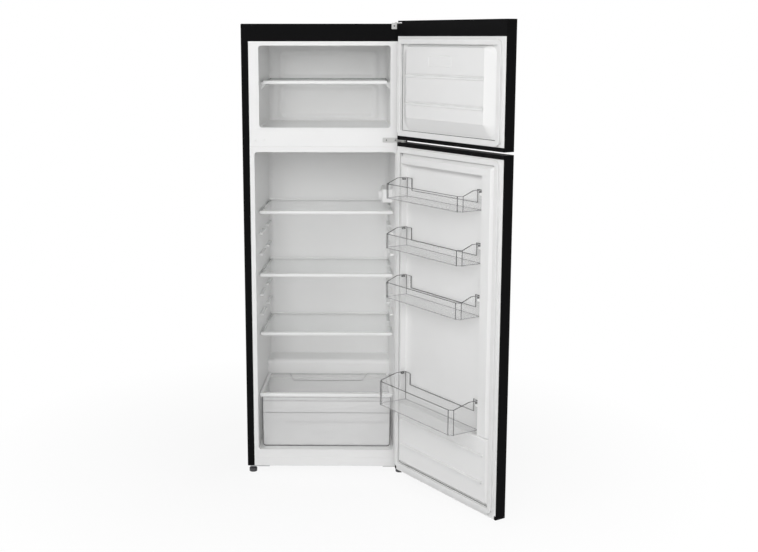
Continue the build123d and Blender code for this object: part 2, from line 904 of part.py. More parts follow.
def raised_field(u, z, v0, v1, slope, top_slope):
    """A field raised from the door liner: limits at its foot, its height and its sloping sides."""
    with BuildPart() as field:
        with BuildSketch(door_face(v0)):
            with Locations(((u[0] + u[1]) / 2, (z[0] + z[1]) / 2)):
                RectangleRounded(u[1] - u[0], z[1] - z[0], trim_r + slope)
        with BuildSketch(door_face(v1)):
            with Locations(((u[0] + u[1]) / 2, (z[0] + z[1] + slope - top_slope) / 2)):
                RectangleRounded(u[1] - u[0] - 2 * slope, z[1] - z[0] - slope - top_slope, trim_r)
        loft(ruled=True)
    return field.part


def bead(u, z, v):
    """A long raised bead across a door panel, with sloping sides and round ends."""
    with BuildPart() as rib:
        with BuildSketch(door_face(v)):
            with Locations(((u[0] + u[1]) / 2, z)):
                SlotOverall(u[1] - u[0], bead_w)
        with BuildSketch(door_face(v + bead_out)):
            with Locations(((u[0] + u[1]) / 2, z)):
                SlotOverall(u[1] - u[0] - 2 * bead_slope, bead_w - 2 * bead_slope)
        loft(ruled=True)
    return rib.part


def fridge_door_form(s, z0, z1, u_in, v_back):
    """The refrigerator door's food side, set back by s: flange, bin ridges, pocket and toe panel."""
    u_foot = (u_hinge + ridge_foot + s, u_free - ridge_foot - s)
    z_toe = at_height(toe_top_h)
    z_pocket = z_fridge_door1 - pocket_top_drop
    z_ridge = (z_toe - ridge_slope + s, z_fridge_door1 - ridge_foot - s)
    z_toe_foot = (at_height(toe_foot_h) + s, z_toe - s)
    with BuildPart() as form:
        door_block((u_hinge + u_in, u_free - u_in), (v_back, door_inner - s), (z0, z1))
        add(raised_field(u_foot, z_toe_foot, door_inner - s, toe_v - s, toe_slope, toe_slope))
        add(raised_field(u_foot, z_ridge, door_inner - s, ridge_v - s, ridge_slope, ridge_slope))
        door_block(
            (pocket_hinge_u - s, pocket_free_u + s),
            (liner_floor_v - s, ridge_v + s),
            (z_toe - s, z_pocket + s),
            mode=Mode.SUBTRACT,
        )
    return form.part


def freezer_door_form(s, z0, z1, u_in, v_back):
    """The freezer door's food side, set back by s: flange and one raised plateau with two grooves."""
    u_foot = (u_hinge + plateau_foot + s, u_free - plateau_foot - s)
    z_foot = (z_freezer_door0 + plateau_foot + s, z_freezer_door1 - plateau_top_drop - s)
    with BuildPart() as form:
        door_block((u_hinge + u_in, u_free - u_in), (v_back, door_inner - s), (z0, z1))
        add(raised_field(u_foot, z_foot, door_inner - s, plateau_v - s, plateau_slope, plateau_top_slope))
        for line in plateau_lines:
            z_line = at_height(line)
            door_block(
                (u_hinge + plateau_foot + plateau_slope - s, u_free - plateau_foot - plateau_slope + s),
                (plateau_v - line_cut - s, plateau_v),
                (z_line - line_w / 2 - s, z_line + line_w / 2 + s),
                mode=Mode.SUBTRACT,
            )
    return form.part


# Freezer door: skin, caps, bushes, liner, foam and gasket
z_apron = z_freezer_door1 - top_apron
z_cap_top = z_freezer_door1 - top_cap_h
z_cap_low = z_freezer_door0 + cap_h
z_arm_floor = z_top - arm_air
keep(door_skin(z_cap_low, z_cap_top), "freezer_door_skin")

upper_boss = door_over_top + arm_air + boss_h
with BuildPart() as freezer_door_top_cap:
    add(door_cap(z_freezer_door1, z_cap_top, upper_boss).part)
    door_block((u_hinge + sheet, u_free - sheet), (door_inner - liner_t, door_inner), (z_apron, z_cap_top))
    door_block(
        (u_hinge, u_hinge + boss_l),
        (slot_wall - door_outer, door_inner),
        (z_arm_floor, z_top + arm_t + arm_air),
        mode=Mode.SUBTRACT,
    )
    bush_hole(z_arm_floor, -1)
keep(freezer_door_top_cap, "freezer_door_top_cap")

with BuildPart() as freezer_door_bottom_cap:
    add(door_cap(z_freezer_door0, z_cap_low, cap_h).part)
    bush_hole(z_freezer_door0, 1)
keep(freezer_door_bottom_cap, "freezer_door_bottom_cap")

with BuildPart() as freezer_door_bushes:
    add(bush(z_arm_floor, -1))
    add(bush(z_freezer_door0, 1))
keep(freezer_door_bushes, "freezer_door_bushes")

with BuildPart() as freezer_door_liner:
    add(freezer_door_form(0, z_cap_low, z_apron, sheet, 0))
    add(freezer_door_form(liner_t, z_cap_low - overcut, z_apron + overcut, 0, -overcut), mode=Mode.SUBTRACT)
keep(freezer_door_liner, "freezer_door_liner")

with BuildPart() as freezer_door_foam:
    add(freezer_door_form(liner_t, z_cap_low, z_cap_top, sheet, 0))
    door_prism(z_cap_low, z_cap_top, sheet, 0)
    door_prism(z_freezer_door0 + cap_wall, z_freezer_door1 - cap_wall, cap_wall, door_inner - cap_wall)
    boss_room(z_freezer_door1 - upper_boss, z_freezer_door1)
    boss_room(z_freezer_door0, z_cap_low)
keep(freezer_door_foam, "freezer_door_foam")

keep(gasket_ring(z_cap_low + trim_lip, z_apron - 4 * trim_lip), "freezer_door_gasket")

# Refrigerator door: skin, caps, bushes, liner with bin lugs and a tongue over the lower cap, foam, gasket
z_low_cap = z_fridge_door0 + cap_h
z_high_cap = z_fridge_door1 - cap_h
keep(door_skin(z_low_cap, z_high_cap), "fridge_door_skin")

with BuildPart() as fridge_door_top_cap:
    add(door_cap(z_fridge_door1, z_high_cap, cap_h).part)
    bush_hole(z_fridge_door1, -1)
keep(fridge_door_top_cap, "fridge_door_top_cap")

tongue_u = (u_hinge + tongue_inset, u_free - tongue_inset)
tongue_v = (door_inner - liner_t, door_inner)
tongue_z = (z_fridge_door0, z_low_cap)
with BuildPart() as fridge_door_bottom_cap:
    add(door_cap(z_fridge_door0, z_low_cap, cap_h).part)
    door_block(tongue_u, tongue_v, tongue_z, mode=Mode.SUBTRACT)
    bush_hole(z_fridge_door0, 1)
keep(fridge_door_bottom_cap, "fridge_door_bottom_cap")

with BuildPart() as fridge_door_bushes:
    add(bush(z_fridge_door1, -1))
    add(bush(z_fridge_door0, 1))
keep(fridge_door_bushes, "fridge_door_bushes")

bins = list(zip(("bottom_bin", "lower_bin", "middle_bin", "top_bin"), bin_bottoms, bin_walls, bin_fronts))
with BuildPart() as fridge_door_liner:
    add(fridge_door_form(0, z_low_cap, z_high_cap, sheet, 0))
    add(fridge_door_form(liner_t, z_low_cap - overcut, z_high_cap + overcut, 0, -overcut), mode=Mode.SUBTRACT)
    door_block(tongue_u, tongue_v, tongue_z)
    u_bead = (u_hinge + ridge_foot + toe_slope + bead_w, u_free - ridge_foot - toe_slope - bead_w)
    for height in toe_beads:
        add(bead(u_bead, at_height(height), toe_v - liner_t / 2))
    for bin_name, bottom, wall_h, front_v in bins:
        z_hook = at_height(bottom) + wall_h + bin_ear_h - hook_drop - hook_h
        z_lug = (z_hook - seat_gap - lug_h, z_hook - seat_gap)
        door_block((pocket_hinge_u - liner_t / 2, bin_hinge_u - lug_gap), (lug_v0, lug_v1), z_lug)
        door_block((bin_free_u + lug_gap, pocket_free_u + liner_t / 2), (lug_v0, lug_v1), z_lug)
keep(fridge_door_liner, "fridge_door_liner")

with BuildPart() as fridge_door_foam:
    add(fridge_door_form(liner_t, z_low_cap, z_high_cap, sheet, 0))
    door_prism(z_low_cap, z_high_cap, sheet, 0)
    door_prism(z_fridge_door0 + cap_wall, z_low_cap, cap_wall, door_inner - cap_wall)
    door_prism(z_high_cap, z_fridge_door1 - cap_wall, cap_wall, door_inner - cap_wall)
    boss_room(z_high_cap, z_fridge_door1)
    boss_room(z_fridge_door0, z_low_cap)
keep(fridge_door_foam, "fridge_door_foam")

keep(gasket_ring(z_low_cap + trim_lip, z_high_cap - trim_lip), "fridge_door_gasket")


def bin_plan(shrink, front_v):
    """A door bin seen from above in u and outwards: square at the door, its front corners cut off."""
    v0 = bin_back_v + shrink
    v1 = front_v - shrink
    with BuildSketch() as plan:
        with Locations(((bin_hinge_u + bin_free_u) / 2, -(v0 + v1) / 2)):
            Rectangle(bin_free_u - bin_hinge_u - 2 * shrink, v1 - v0)
        chamfer(plan.vertices().group_by(Axis.Y)[0], bin_corner - (2 - sqrt(2)) * shrink)
    return plan.sketch


def bin_prism(z0, z1, shrink, front_v, mode=Mode.ADD):
    """A door bin's plan between two heights."""
    extrude(door.offset(z0).location * bin_plan(shrink, front_v), amount=z1 - z0, mode=mode)


def bin_side(z0, z1, z2, front_v):
    """A door bin seen from its end: level at the ears, then sloping down to the front wall."""
    end_view = Plane(
        origin=door.from_local_coords((u_free, 0, 0)), x_dir=-door.y_dir, z_dir=-door.x_dir
    )
    with BuildSketch(end_view) as outline:
        with BuildLine():
            Polyline(
                (bin_back_v, z0),
                (bin_back_v, z2),
                (bin_ear_v, z2),
                (front_v - bin_corner, z1),
                (front_v, z1),
                (front_v, z0),
                close=True,
            )
        make_face()
        fillet(outline.vertices().group_by(Axis.Y)[-1], bin_ear_r)
    return outline.sketch


# Door bins: clear trays with cut corners, taller ears at the door and a hook over each lug
for bin_name, bottom, wall_h, front_v in bins:
    z0 = at_height(bottom)
    z1 = z0 + wall_h
    z2 = z1 + bin_ear_h
    with BuildPart() as door_bin:
        bin_prism(z0, z2, 0, front_v)
        fillet(door_bin.edges().group_by(Axis.Z)[0], bin_floor_r)
        extrude(bin_side(z0, z1, z2, front_v), amount=door_w, mode=Mode.INTERSECT)
        bin_prism(z0 + bin_wall, z2, bin_wall, front_v, mode=Mode.SUBTRACT)
        door_block(
            (bin_hinge_u + bin_ear_w, bin_free_u - bin_ear_w),
            (bin_back_v, bin_back_v + bin_wall),
            (z1 - bin_back_drop, z2),
            mode=Mode.SUBTRACT,
        )
        z_hook = (z2 - hook_drop - hook_h, z2 - hook_drop)
        door_block((bin_hinge_u - hook_out, bin_hinge_u + bin_wall / 2), (lug_v0, lug_v1), z_hook)
        door_block((bin_free_u - bin_wall / 2, bin_free_u + hook_out), (lug_v0, lug_v1), z_hook)
    keep(door_bin, bin_name)


def arm(z, root_w, lap):
    """A hinge arm, upwards from z: from a lap on its plate to a round end on the pin's axis."""
    with BuildSketch(Plane.XY.offset(z)) as plan:
        with BuildLine():
            Polyline(
                (hinge_x + arm_half, y_front + lap),
                (hinge_x + arm_half, hinge_y),
                (hinge_x - arm_half, hinge_y),
                (hinge_x - root_w, y_front + lap),
                close=True,
            )
        make_face()
        with Locations((hinge_x, hinge_y)):
            Circle(arm_half)
    extrude(plan.sketch, amount=arm_t)


def pin(z0, z1, radius=pin_r):
    """A hinge pin, or its collar, between two heights."""
    with Locations((hinge_x, hinge_y, (z0 + z1) / 2)):
        Cylinder(radius, z1 - z0)


# Places of the screws: on the upper plate, the middle plate, the lower plate and the foot bracket
upper_x = (cab_w / 2 - upper_plate_w, cab_w / 2 - 2 * trim_r)
middle_x = (hinge_x - middle_plate_inset - middle_plate_w, hinge_x - middle_plate_inset)
lower_x = (cab_w / 2 - lower_plate_w, cab_w / 2 - 2 * trim_r)
upper_screws = [
    Location((upper_x[0] + screw_edge, y_front + screw_edge, z_top + arm_t)),
    Location((upper_x[1] - screw_edge, y_front + screw_edge, z_top + arm_t)),
    Location(((upper_x[0] + upper_x[1]) / 2, y_front + upper_plate_d - screw_edge, z_top + arm_t)),
]
middle_screws = [
    Location((x, y_front - arm_t, z_gap), (90, 0, 0))
    for x in (middle_x[0] + screw_edge, middle_x[1] - 2 * screw_edge)
]
lower_screws = [
    Location((side * (lower_x[0] + screw_edge), y_front + d, z_base - arm_t), (180, 0, 0))
    for side in (1, -1)
    for d in (screw_edge, lower_plate_d - screw_edge)
]


def screw_holes(places):
    """Cuts clearance holes for screws through a plate."""
    with Locations(*places):
        Cylinder(screw_shank_r + screw_fit, 2 * arm_t, mode=Mode.SUBTRACT)


# Upper hinge: plate on the roof, a tab folded over the front, an arm and a pin that points down
with BuildPart() as upper_hinge:
    with BuildSketch(Plane.XY.offset(z_top)):
        with Locations(((upper_x[0] + upper_x[1]) / 2, y_front + upper_plate_d / 2)):
            RectangleRounded(upper_x[1] - upper_x[0], upper_plate_d, trim_r)
    extrude(amount=arm_t)
    arm(z_top, 2 * arm_half, 2 * trim_r)
    block(
        (upper_tab_x - upper_tab_w / 2, upper_tab_x + upper_tab_w / 2),
        (y_front - arm_t, y_front),
        (z_top + arm_t - upper_tab_h, z_top + arm_t),
    )
    with Locations(Location((upper_tab_x, y_front, z_top + arm_t - upper_tab_h / 2), (90, 0, 0))):
        Cylinder(tab_hole_r, 4 * arm_t, mode=Mode.SUBTRACT)
    pin(z_arm_floor - pin_reach, z_top)
    screw_holes(upper_screws)
keep(upper_hinge, "upper_hinge")

# Middle hinge: plate on the strip between the doors, an arm with a pin up and a pin down
with BuildPart() as middle_hinge:
    with BuildSketch(facing(y_front)):
        with Locations(((middle_x[0] + middle_x[1]) / 2, z_gap)):
            RectangleRounded(middle_plate_w, middle_plate_h, trim_r)
    extrude(amount=arm_t)
    arm(z_gap - arm_t / 2, 2 * screw_edge, 0)
    pin(z_fridge_door1 - pin_reach, z_freezer_door0 + pin_reach)
    pin(z_gap, z_freezer_door0 - bush_flange_t - collar_air, collar_r)
    screw_holes(middle_screws)
keep(middle_hinge, "middle_hinge")


def foot_plate(side):
    """A plate under a front corner of the cabinet, with the hole that a front foot's stud goes through."""
    with BuildSketch(Plane.XY.offset(z_base - arm_t)) as plan:
        with Locations((side * (lower_x[0] + lower_x[1]) / 2, y_front + lower_plate_d / 2)):
            RectangleRounded(lower_x[1] - lower_x[0], lower_plate_d, trim_r)
    extrude(plan.sketch, amount=arm_t)
    with Locations((side * foot_x, foot_y, z_base)):
        Cylinder(stud_r + stud_fit, 4 * arm_t, mode=Mode.SUBTRACT)


# Lower hinge, and the bracket that holds the other front foot
with BuildPart() as lower_hinge:
    foot_plate(1)
    arm(z_base - arm_t, 2 * screw_edge, 2 * trim_r)
    pin(z_base - arm_t, z_fridge_door0 + pin_reach)
    pin(z_base - arm_t, z_fridge_door0 - bush_flange_t - collar_air, collar_r)
    screw_holes(lower_screws[:2])
keep(lower_hinge, "lower_hinge")

with BuildPart() as left_foot_bracket:
    foot_plate(-1)
    screw_holes(lower_screws[2:])
keep(left_foot_bracket, "left_foot_bracket")

with BuildPart() as hinge_screws:
    with Locations(*upper_screws, *middle_screws, *lower_screws):
        Cone(screw_r, screw_r - screw_h / 2, screw_h, align=(Align.CENTER, Align.CENTER, Align.MIN))
        Cylinder(screw_shank_r, arm_t, align=(Align.CENTER, Align.CENTER, Align.MAX))
keep(hinge_screws, "hinge_screws")

# Lamp and thermostat housing: a box open towards the wall, with a window and a knob hole
box_x = wall_x(box_front_d) - box_w
box_y = (at_depth(box_front_d), at_depth(box_front_d + box_l))
box_z = at_height(shelf_heights[-1]) + glass_t + box_above_shelf
lens_y = (box_y[1] - lens_edge - lens_l, box_y[1] - lens_edge)
lens_z = (box_z + (box_h - lens_h) / 2, box_z + (box_h + lens_h) / 2)
knob_y = box_y[0] + knob_d
knob_z = box_z + box_h / 2


def box_plan(shrink):
    """The housing seen from above, rounded at its two free corners."""
    with BuildSketch() as plan:
        with Locations((box_x + shrink, (box_y[0] + box_y[1]) / 2)):
            Rectangle(
                2 * box_w,
                box_l - 2 * shrink,
                align=(Align.MIN, Align.CENTER),
            )
        fillet(plan.vertices().group_by(Axis.X)[0], box_r - shrink)
    return plan.sketch


with BuildPart() as control_housing:
    extrude(Plane.XY.offset(box_z).location * box_plan(0), amount=box_h)
    extrude(
        Plane.XY.offset(box_z + box_wall).location * box_plan(box_wall),
        amount=box_h - 2 * box_wall,
        mode=Mode.SUBTRACT,
    )
    block((box_x - overcut, box_x + 2 * box_wall), lens_y, lens_z, mode=Mode.SUBTRACT)
    with Locations(Location((box_x, knob_y, knob_z), (0, 90, 0))):
        Cylinder(knob_shaft_r + pin_fit, 4 * box_wall, mode=Mode.SUBTRACT)
    add(fridge_hollow(0), mode=Mode.INTERSECT)
keep(control_housing, "control_housing")

with BuildPart() as lamp_lens:
    block(
        (box_x - lens_out, box_x + box_wall),
        (lens_y[0] + lens_fit, lens_y[1] - lens_fit),
        (lens_z[0] + lens_fit, lens_z[1] - lens_fit),
    )
    fillet(lamp_lens.edges().group_by(Axis.X)[0], lens_out - lens_fit)
    block(
        (box_x + box_wall, box_x + 2 * box_wall),
        (lens_y[0] - lens_flange, lens_y[1] + lens_flange),
        (lens_z[0] - lens_flange, lens_z[1] + lens_flange),
    )
keep(lamp_lens, "lamp_lens")

with BuildPart() as lamp_board:
    block(
        (box_x + board_behind, box_x + board_behind + board_t),
        lens_y,
        (box_z + box_wall, box_z + box_h - box_wall),
    )
keep(lamp_board, "lamp_board")

# Thermostat knob: fluted, with a pointer, on a shaft clipped behind the housing's wall
knob_face = Plane(origin=(box_x - knob_gap, knob_y, knob_z), x_dir=(0, -1, 0), z_dir=(-1, 0, 0))
with BuildPart() as thermostat_knob:
    with BuildSketch(knob_face):
        Circle(knob_r)
        with PolarLocations(knob_r, knob_flutes):
            Circle(knob_flute_r, mode=Mode.SUBTRACT)
    extrude(amount=knob_t)
    with BuildSketch(knob_face.offset(knob_t)):
        with Locations((0, knob_r / 2)):
            Rectangle(knob_pointer_w, knob_r - 2 * knob_flute_r)
    extrude(amount=knob_pointer_t)
    with BuildSketch(knob_face):
        Circle(knob_shaft_r)
    extrude(amount=-(2 * knob_gap + box_wall + 2 * knob_clip_t))
    with BuildSketch(knob_face.offset(-2 * knob_gap - box_wall)):
        Circle(knob_clip_r)
    extrude(amount=-knob_clip_t)
keep(thermostat_knob, "thermostat_knob")


# Feet: two that screw in and out at the front, two fixed ones at the back
def front_foot(x):
    """A levelling foot: a round pad, a hexagon for a spanner and a stud."""
    side_view = Plane(origin=(x, foot_y, 0), x_dir=(1, 0, 0), z_dir=(0, -1, 0))
    with BuildPart() as foot:
        with BuildSketch(side_view):
            with BuildLine():
                Polyline(
                    (0, 0),
                    (foot_r - foot_edge, 0),
                    (foot_r, foot_edge),
                    (foot_r, foot_pad_h - foot_shoulder),
                    (foot_r - foot_shoulder, foot_pad_h),
                    (stud_r, foot_pad_h),
                    (stud_r, z_base + stud_up),
                    (0, z_base + stud_up),
                    close=True,
                )
            make_face()
        revolve(axis=Axis((x, foot_y, 0), (0, 0, 1)))
        with BuildSketch(Plane(origin=(x, foot_y, foot_pad_h))):
            RegularPolygon(foot_hex_r, 6)
        extrude(amount=foot_hex_h)
    return foot


keep(front_foot(-foot_x), "front_foot_left")
keep(front_foot(foot_x), "front_foot_right")

with BuildPart() as rear_feet:
    with BuildSketch(Plane.XY.offset(z_base)):
        with Locations((0, y_back - rear_foot_inset_y)):
            with GridLocations(cab_w - 2 * rear_foot_inset_x, rear_foot_d, 2, 1):
                RectangleRounded(rear_foot_w, rear_foot_d, rear_foot_r)
    extrude(amount=-z_base, taper=rear_foot_taper)
keep(rear_feet, "rear_feet")

# Rail across the machine compartment, a channel that the compressor and the rear feet sit on
with BuildPart() as compressor_rail:
    with BuildSketch(Plane.YZ.offset(-inner_x)):
        with BuildLine():
            Polyline(
                (y_machine + rail_gap, z_base),
                (y_back - rail_gap, z_base),
                (y_back - rail_gap, z_base + rail_lip),
                (y_back - rail_gap - rail_plate_t, z_base + rail_lip),
                (y_back - rail_gap - rail_plate_t, z_base + rail_plate_t),
                (y_machine + rail_gap + rail_plate_t, z_base + rail_plate_t),
                (y_machine + rail_gap + rail_plate_t, z_base + rail_lip),
                (y_machine + rail_gap, z_base + rail_lip),
                close=True,
            )
        make_face()
    extrude(amount=2 * inner_x)
keep(compressor_rail, "compressor_rail")

# Compressor: a domed shell with its weld seam, a foot plate, a terminal fence and two pipe stubs
pump_y = (y_machine + y_back) / 2
z_rail = z_base + rail_plate_t
z_pump = z_rail + pump_clear
z_pump_foot = z_rail + grommet_low
fence_x = pump_x + pump_l / 2 + fence_out
fence_z = (z_pump + (pump_h - fence_h) / 2, z_pump + (pump_h + fence_h) / 2)
stub_x = pump_x - pump_l / 2 - stub_l
z_stub = z_pump + stub_h
stub_y = (pump_y - stub_spacing / 2, pump_y + stub_spacing / 2)
with BuildPart() as compressor:
    with BuildSketch(Plane.XY.offset(z_pump)):
        with Locations((pump_x, pump_y)):
            RectangleRounded(pump_l, pump_w, pump_r)
    extrude(amount=pump_h)
    fillet(compressor.faces().sort_by(Axis.Z)[-1].edges(), pump_dome_r)
    fillet(compressor.faces().sort_by(Axis.Z)[0].edges(), pump_dome_r)
    with BuildSketch(Plane.XY.offset(z_pump + (pump_h - pump_seam_h) / 2)):
        with Locations((pump_x, pump_y)):
            RectangleRounded(pump_l + 2 * pump_seam_out, pump_w + 2 * pump_seam_out, pump_r)
    extrude(amount=pump_seam_h)
    with BuildSketch(Plane.XY.offset(z_pump_foot)):
        with Locations((pump_x, pump_y)):
            RectangleRounded(pump_foot_l, pump_foot_w, grommet_r)
            with GridLocations(grommet_spacing_x, grommet_spacing_y, 2, 2):
                Circle(grommet_neck_r, mode=Mode.SUBTRACT)
    extrude(amount=pump_foot_t)
    block((pump_x, fence_x), (pump_y - fence_w / 2, pump_y + fence_w / 2), fence_z)
    for y in stub_y:
        with Locations(Location((stub_x, y, z_stub), (0, 90, 0))):
            Cylinder(stub_r, 2 * stub_l, align=(Align.CENTER, Align.CENTER, Align.MIN))
keep(compressor, "compressor")

with BuildPart() as compressor_grommets:
    with BuildSketch(Plane.XY.offset(z_rail)):
        with Locations((pump_x, pump_y)):
            with GridLocations(grommet_spacing_x, grommet_spacing_y, 2, 2):
                Circle(grommet_r)
    extrude(amount=grommet_low)
    with BuildSketch(Plane.XY.offset(z_pump_foot)):
        with Locations((pump_x, pump_y)):
            with GridLocations(grommet_spacing_x, grommet_spacing_y, 2, 2):
                Circle(grommet_neck_r - grommet_fit)
    extrude(amount=pump_foot_t)
    with BuildSketch(Plane.XY.offset(z_pump_foot + pump_foot_t)):
        with Locations((pump_x, pump_y)):
            with GridLocations(grommet_spacing_x, grommet_spacing_y, 2, 2):
                Circle(grommet_top_r)
    extrude(amount=grommet_h - grommet_low - pump_foot_t)
keep(compressor_grommets, "compressor_grommets")

# Terminal box on the fence, with the gland for a mains lead
terminal_z = z_pump + (pump_h - terminal_h) / 2
gland_y = pump_y + terminal_l / 2
gland_place = (fence_x + terminal_w / 2, gland_y, terminal_z + gland_r + terminal_r)
with BuildPart() as terminal_box:
    block(
        (fence_x, fence_x + terminal_w),
        (pump_y - terminal_l / 2, gland_y),
        (terminal_z, terminal_z + terminal_h),
    )
    fillet(terminal_box.edges().filter_by(Axis.Z).group_by(Axis.X)[-1], terminal_r)
    with Locations(Location(gland_place, (-90, 0, 0))):
        Cylinder(gland_r, gland_l, align=(Align.CENTER, Align.CENTER, Align.MIN))
        Cylinder(gland_bore_r, 2 * gland_l, mode=Mode.SUBTRACT)
keep(terminal_box, "terminal_box")

# Drip tray on the compressor, where its warmth dries the defrost water
z_tray = z_pump + pump_h
with BuildPart() as drip_tray:
    with BuildSketch(Plane.XY.offset(z_tray)):
        with Locations((pump_x, pump_y)):
            RectangleRounded(tray_l, tray_w, terminal_r)
    extrude(amount=tray_h)
    with BuildSketch(Plane.XY.offset(z_tray + tray_wall)):
        with Locations((pump_x, pump_y)):
            RectangleRounded(tray_l - 2 * tray_wall, tray_w - 2 * tray_wall, terminal_r - tray_wall)
    extrude(amount=tray_h, mode=Mode.SUBTRACT)
keep(drip_tray, "drip_tray")

# Condenser at the back: one tube in level runs joined by half turns, with a lead-in and a tail
coil_y = y_back + coil_air
coil_x = coil_w / 2 - coil_pitch / 2
lead_x = -coil_w / 2
drier_x = drier_inset_x - cab_w / 2
z_coil = z_base + coil_low
z_coil_top = z_coil + (coil_runs - 1) * coil_pitch
z_lead = z_coil - coil_lead
z_tail = z_coil_top - coil_tail
with BuildPart() as condenser_tube:
    with BuildLine(facing(coil_y)) as route:
        Line((lead_x, z_lead), (lead_x, z_coil - coil_lead_r))
        JernArc((lead_x, z_coil - coil_lead_r), (0, 1), coil_lead_r, -90)
        Line((lead_x + coil_lead_r, z_coil), (coil_x, z_coil))
        for run in range(1, coil_runs):
            side = 1 if run % 2 else -1
            z_run = z_coil + run * coil_pitch
            JernArc((side * coil_x, z_run - coil_pitch), (side, 0), coil_pitch / 2, side * 180)
            x_end = drier_x + coil_lead_r if run == coil_runs - 1 else -side * coil_x
            Line((side * coil_x, z_run), (x_end, z_run))
        JernArc((drier_x + coil_lead_r, z_coil_top), (-1, 0), coil_lead_r, 90)
        Line((drier_x, z_coil_top - coil_lead_r), (drier_x, z_tail))
    with BuildSketch(Plane(origin=route.line @ 0, z_dir=route.line % 0)):
        Circle(coil_r)
    sweep(path=route.line)
keep(condenser_tube, "condenser_tube")

wire_y = coil_r + wire_r + wire_fit
with BuildPart() as condenser_wires:
    with BuildSketch(Plane.XY.offset(z_coil - wire_over)):
        with Locations((0, coil_y)):
            with GridLocations(wire_pitch, 2 * wire_y, wire_count, 2):
                Circle(wire_r)
    extrude(amount=z_coil_top - z_coil + 2 * wire_over)
keep(condenser_wires, "condenser_wires")

with BuildPart() as condenser_brackets:
    for run in bracket_runs:
        z_run = z_coil + run * coil_pitch
        for x in (-bracket_x, bracket_x):
            block(
                (x - bracket_w / 2, x + bracket_w / 2),
                (y_back - sheet, coil_y + coil_r + bracket_over),
                (z_run - bracket_h / 2, z_run + bracket_h / 2),
            )
            with Locations(Location((x, coil_y, z_run), (0, 90, 0))):
                Cylinder(coil_r + wire_fit, 2 * bracket_w, mode=Mode.SUBTRACT)
keep(condenser_brackets, "condenser_brackets")

# Filter drier: a capsule with a neck at each end
drier_y = y_back - drier_inset_y
drier_z = (z_base + drier_h, z_base + drier_h + drier_l)
drier_view = Plane(origin=(drier_x, drier_y, 0), x_dir=(1, 0, 0), z_dir=(0, -1, 0))
with BuildPart() as filter_drier:
    with BuildSketch(drier_view):
        with BuildLine():
            Polyline(
                (0, drier_z[0]),
                (drier_neck_r, drier_z[0]),
                (drier_r, drier_z[0] + drier_neck),
                (drier_r, drier_z[1] - drier_neck),
                (drier_neck_r, drier_z[1]),
                (0, drier_z[1]),
                close=True,
            )
        make_face()
    revolve(axis=Axis((drier_x, drier_y, 0), (0, 0, 1)))
keep(filter_drier, "filter_drier")


def pipe(points, radius):
    """A pipe along straight runs with even bends."""
    with BuildPart() as tube:
        with BuildLine() as route:
            FilletPolyline(*points, radius=pipe_bend)
        with BuildSketch(Plane(origin=route.line @ 0, z_dir=route.line % 0)):
            Circle(radius)
        sweep(path=route.line)
    return tube.part


# Refrigerant pipes: discharge, liquid line, capillary and suction line
z_pan = z_machine - sheet
z_loop = drier_z[0] - pipe_loop
discharge = [
    (stub_x, stub_y[1], z_stub),
    (lead_x, stub_y[1], z_stub),
    (lead_x, coil_y, z_stub),
    (lead_x, coil_y, z_lead),
]
liquid_line = [
    (drier_x, coil_y, z_tail),
    (drier_x, coil_y, drier_z[1] + pipe_loop),
    (drier_x, drier_y, drier_z[1] + pipe_loop),
    (drier_x, drier_y, drier_z[1]),
]
capillary = [
    (drier_x, drier_y, drier_z[0]),
    (drier_x, drier_y, z_loop),
    (drier_x, y_machine + capillary_y, z_loop),
    (drier_x, y_machine + capillary_y, z_pan),
]
suction_line = [
    (stub_x, stub_y[0], z_stub),
    (suction_x, stub_y[0], z_stub),
    (suction_x, stub_y[0], z_pan),
]
with BuildPart() as refrigerant_pipes:
    add(pipe(discharge, pipe_r))
    add(pipe(liquid_line, pipe_r))
    add(pipe(capillary, capillary_r))
    add(pipe(suction_line, pipe_r))
keep(refrigerant_pipes, "refrigerant_pipes")
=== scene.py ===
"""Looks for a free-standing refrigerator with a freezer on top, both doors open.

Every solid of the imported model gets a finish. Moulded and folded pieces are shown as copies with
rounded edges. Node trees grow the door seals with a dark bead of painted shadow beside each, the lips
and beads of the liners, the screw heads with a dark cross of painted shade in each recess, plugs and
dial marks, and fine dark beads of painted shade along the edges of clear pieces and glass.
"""
import json
import math

import bmesh
import bpy
from bpy.props import FloatProperty, FloatVectorProperty, IntProperty, PointerProperty
from bpy.types import Operator, Panel, PropertyGroup
from mathutils import Matrix, Vector


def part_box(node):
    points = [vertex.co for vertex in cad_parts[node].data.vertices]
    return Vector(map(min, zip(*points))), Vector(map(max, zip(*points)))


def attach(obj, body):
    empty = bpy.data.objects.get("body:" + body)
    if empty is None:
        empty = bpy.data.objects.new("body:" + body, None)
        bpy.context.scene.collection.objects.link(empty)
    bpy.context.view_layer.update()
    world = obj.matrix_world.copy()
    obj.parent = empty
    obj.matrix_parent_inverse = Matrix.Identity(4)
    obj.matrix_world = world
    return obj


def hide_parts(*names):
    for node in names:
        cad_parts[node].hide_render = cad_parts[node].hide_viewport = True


bl_info = {
    "name": "Top Freezer Refrigerator",
    "version": (1, 0, 0),
    "blender": (4, 5, 0),
    "location": "View3D > Sidebar > Refrigerator",
    "description": "Dresses the refrigerator's solids and sets up its studio",
    "category": "Object",
}

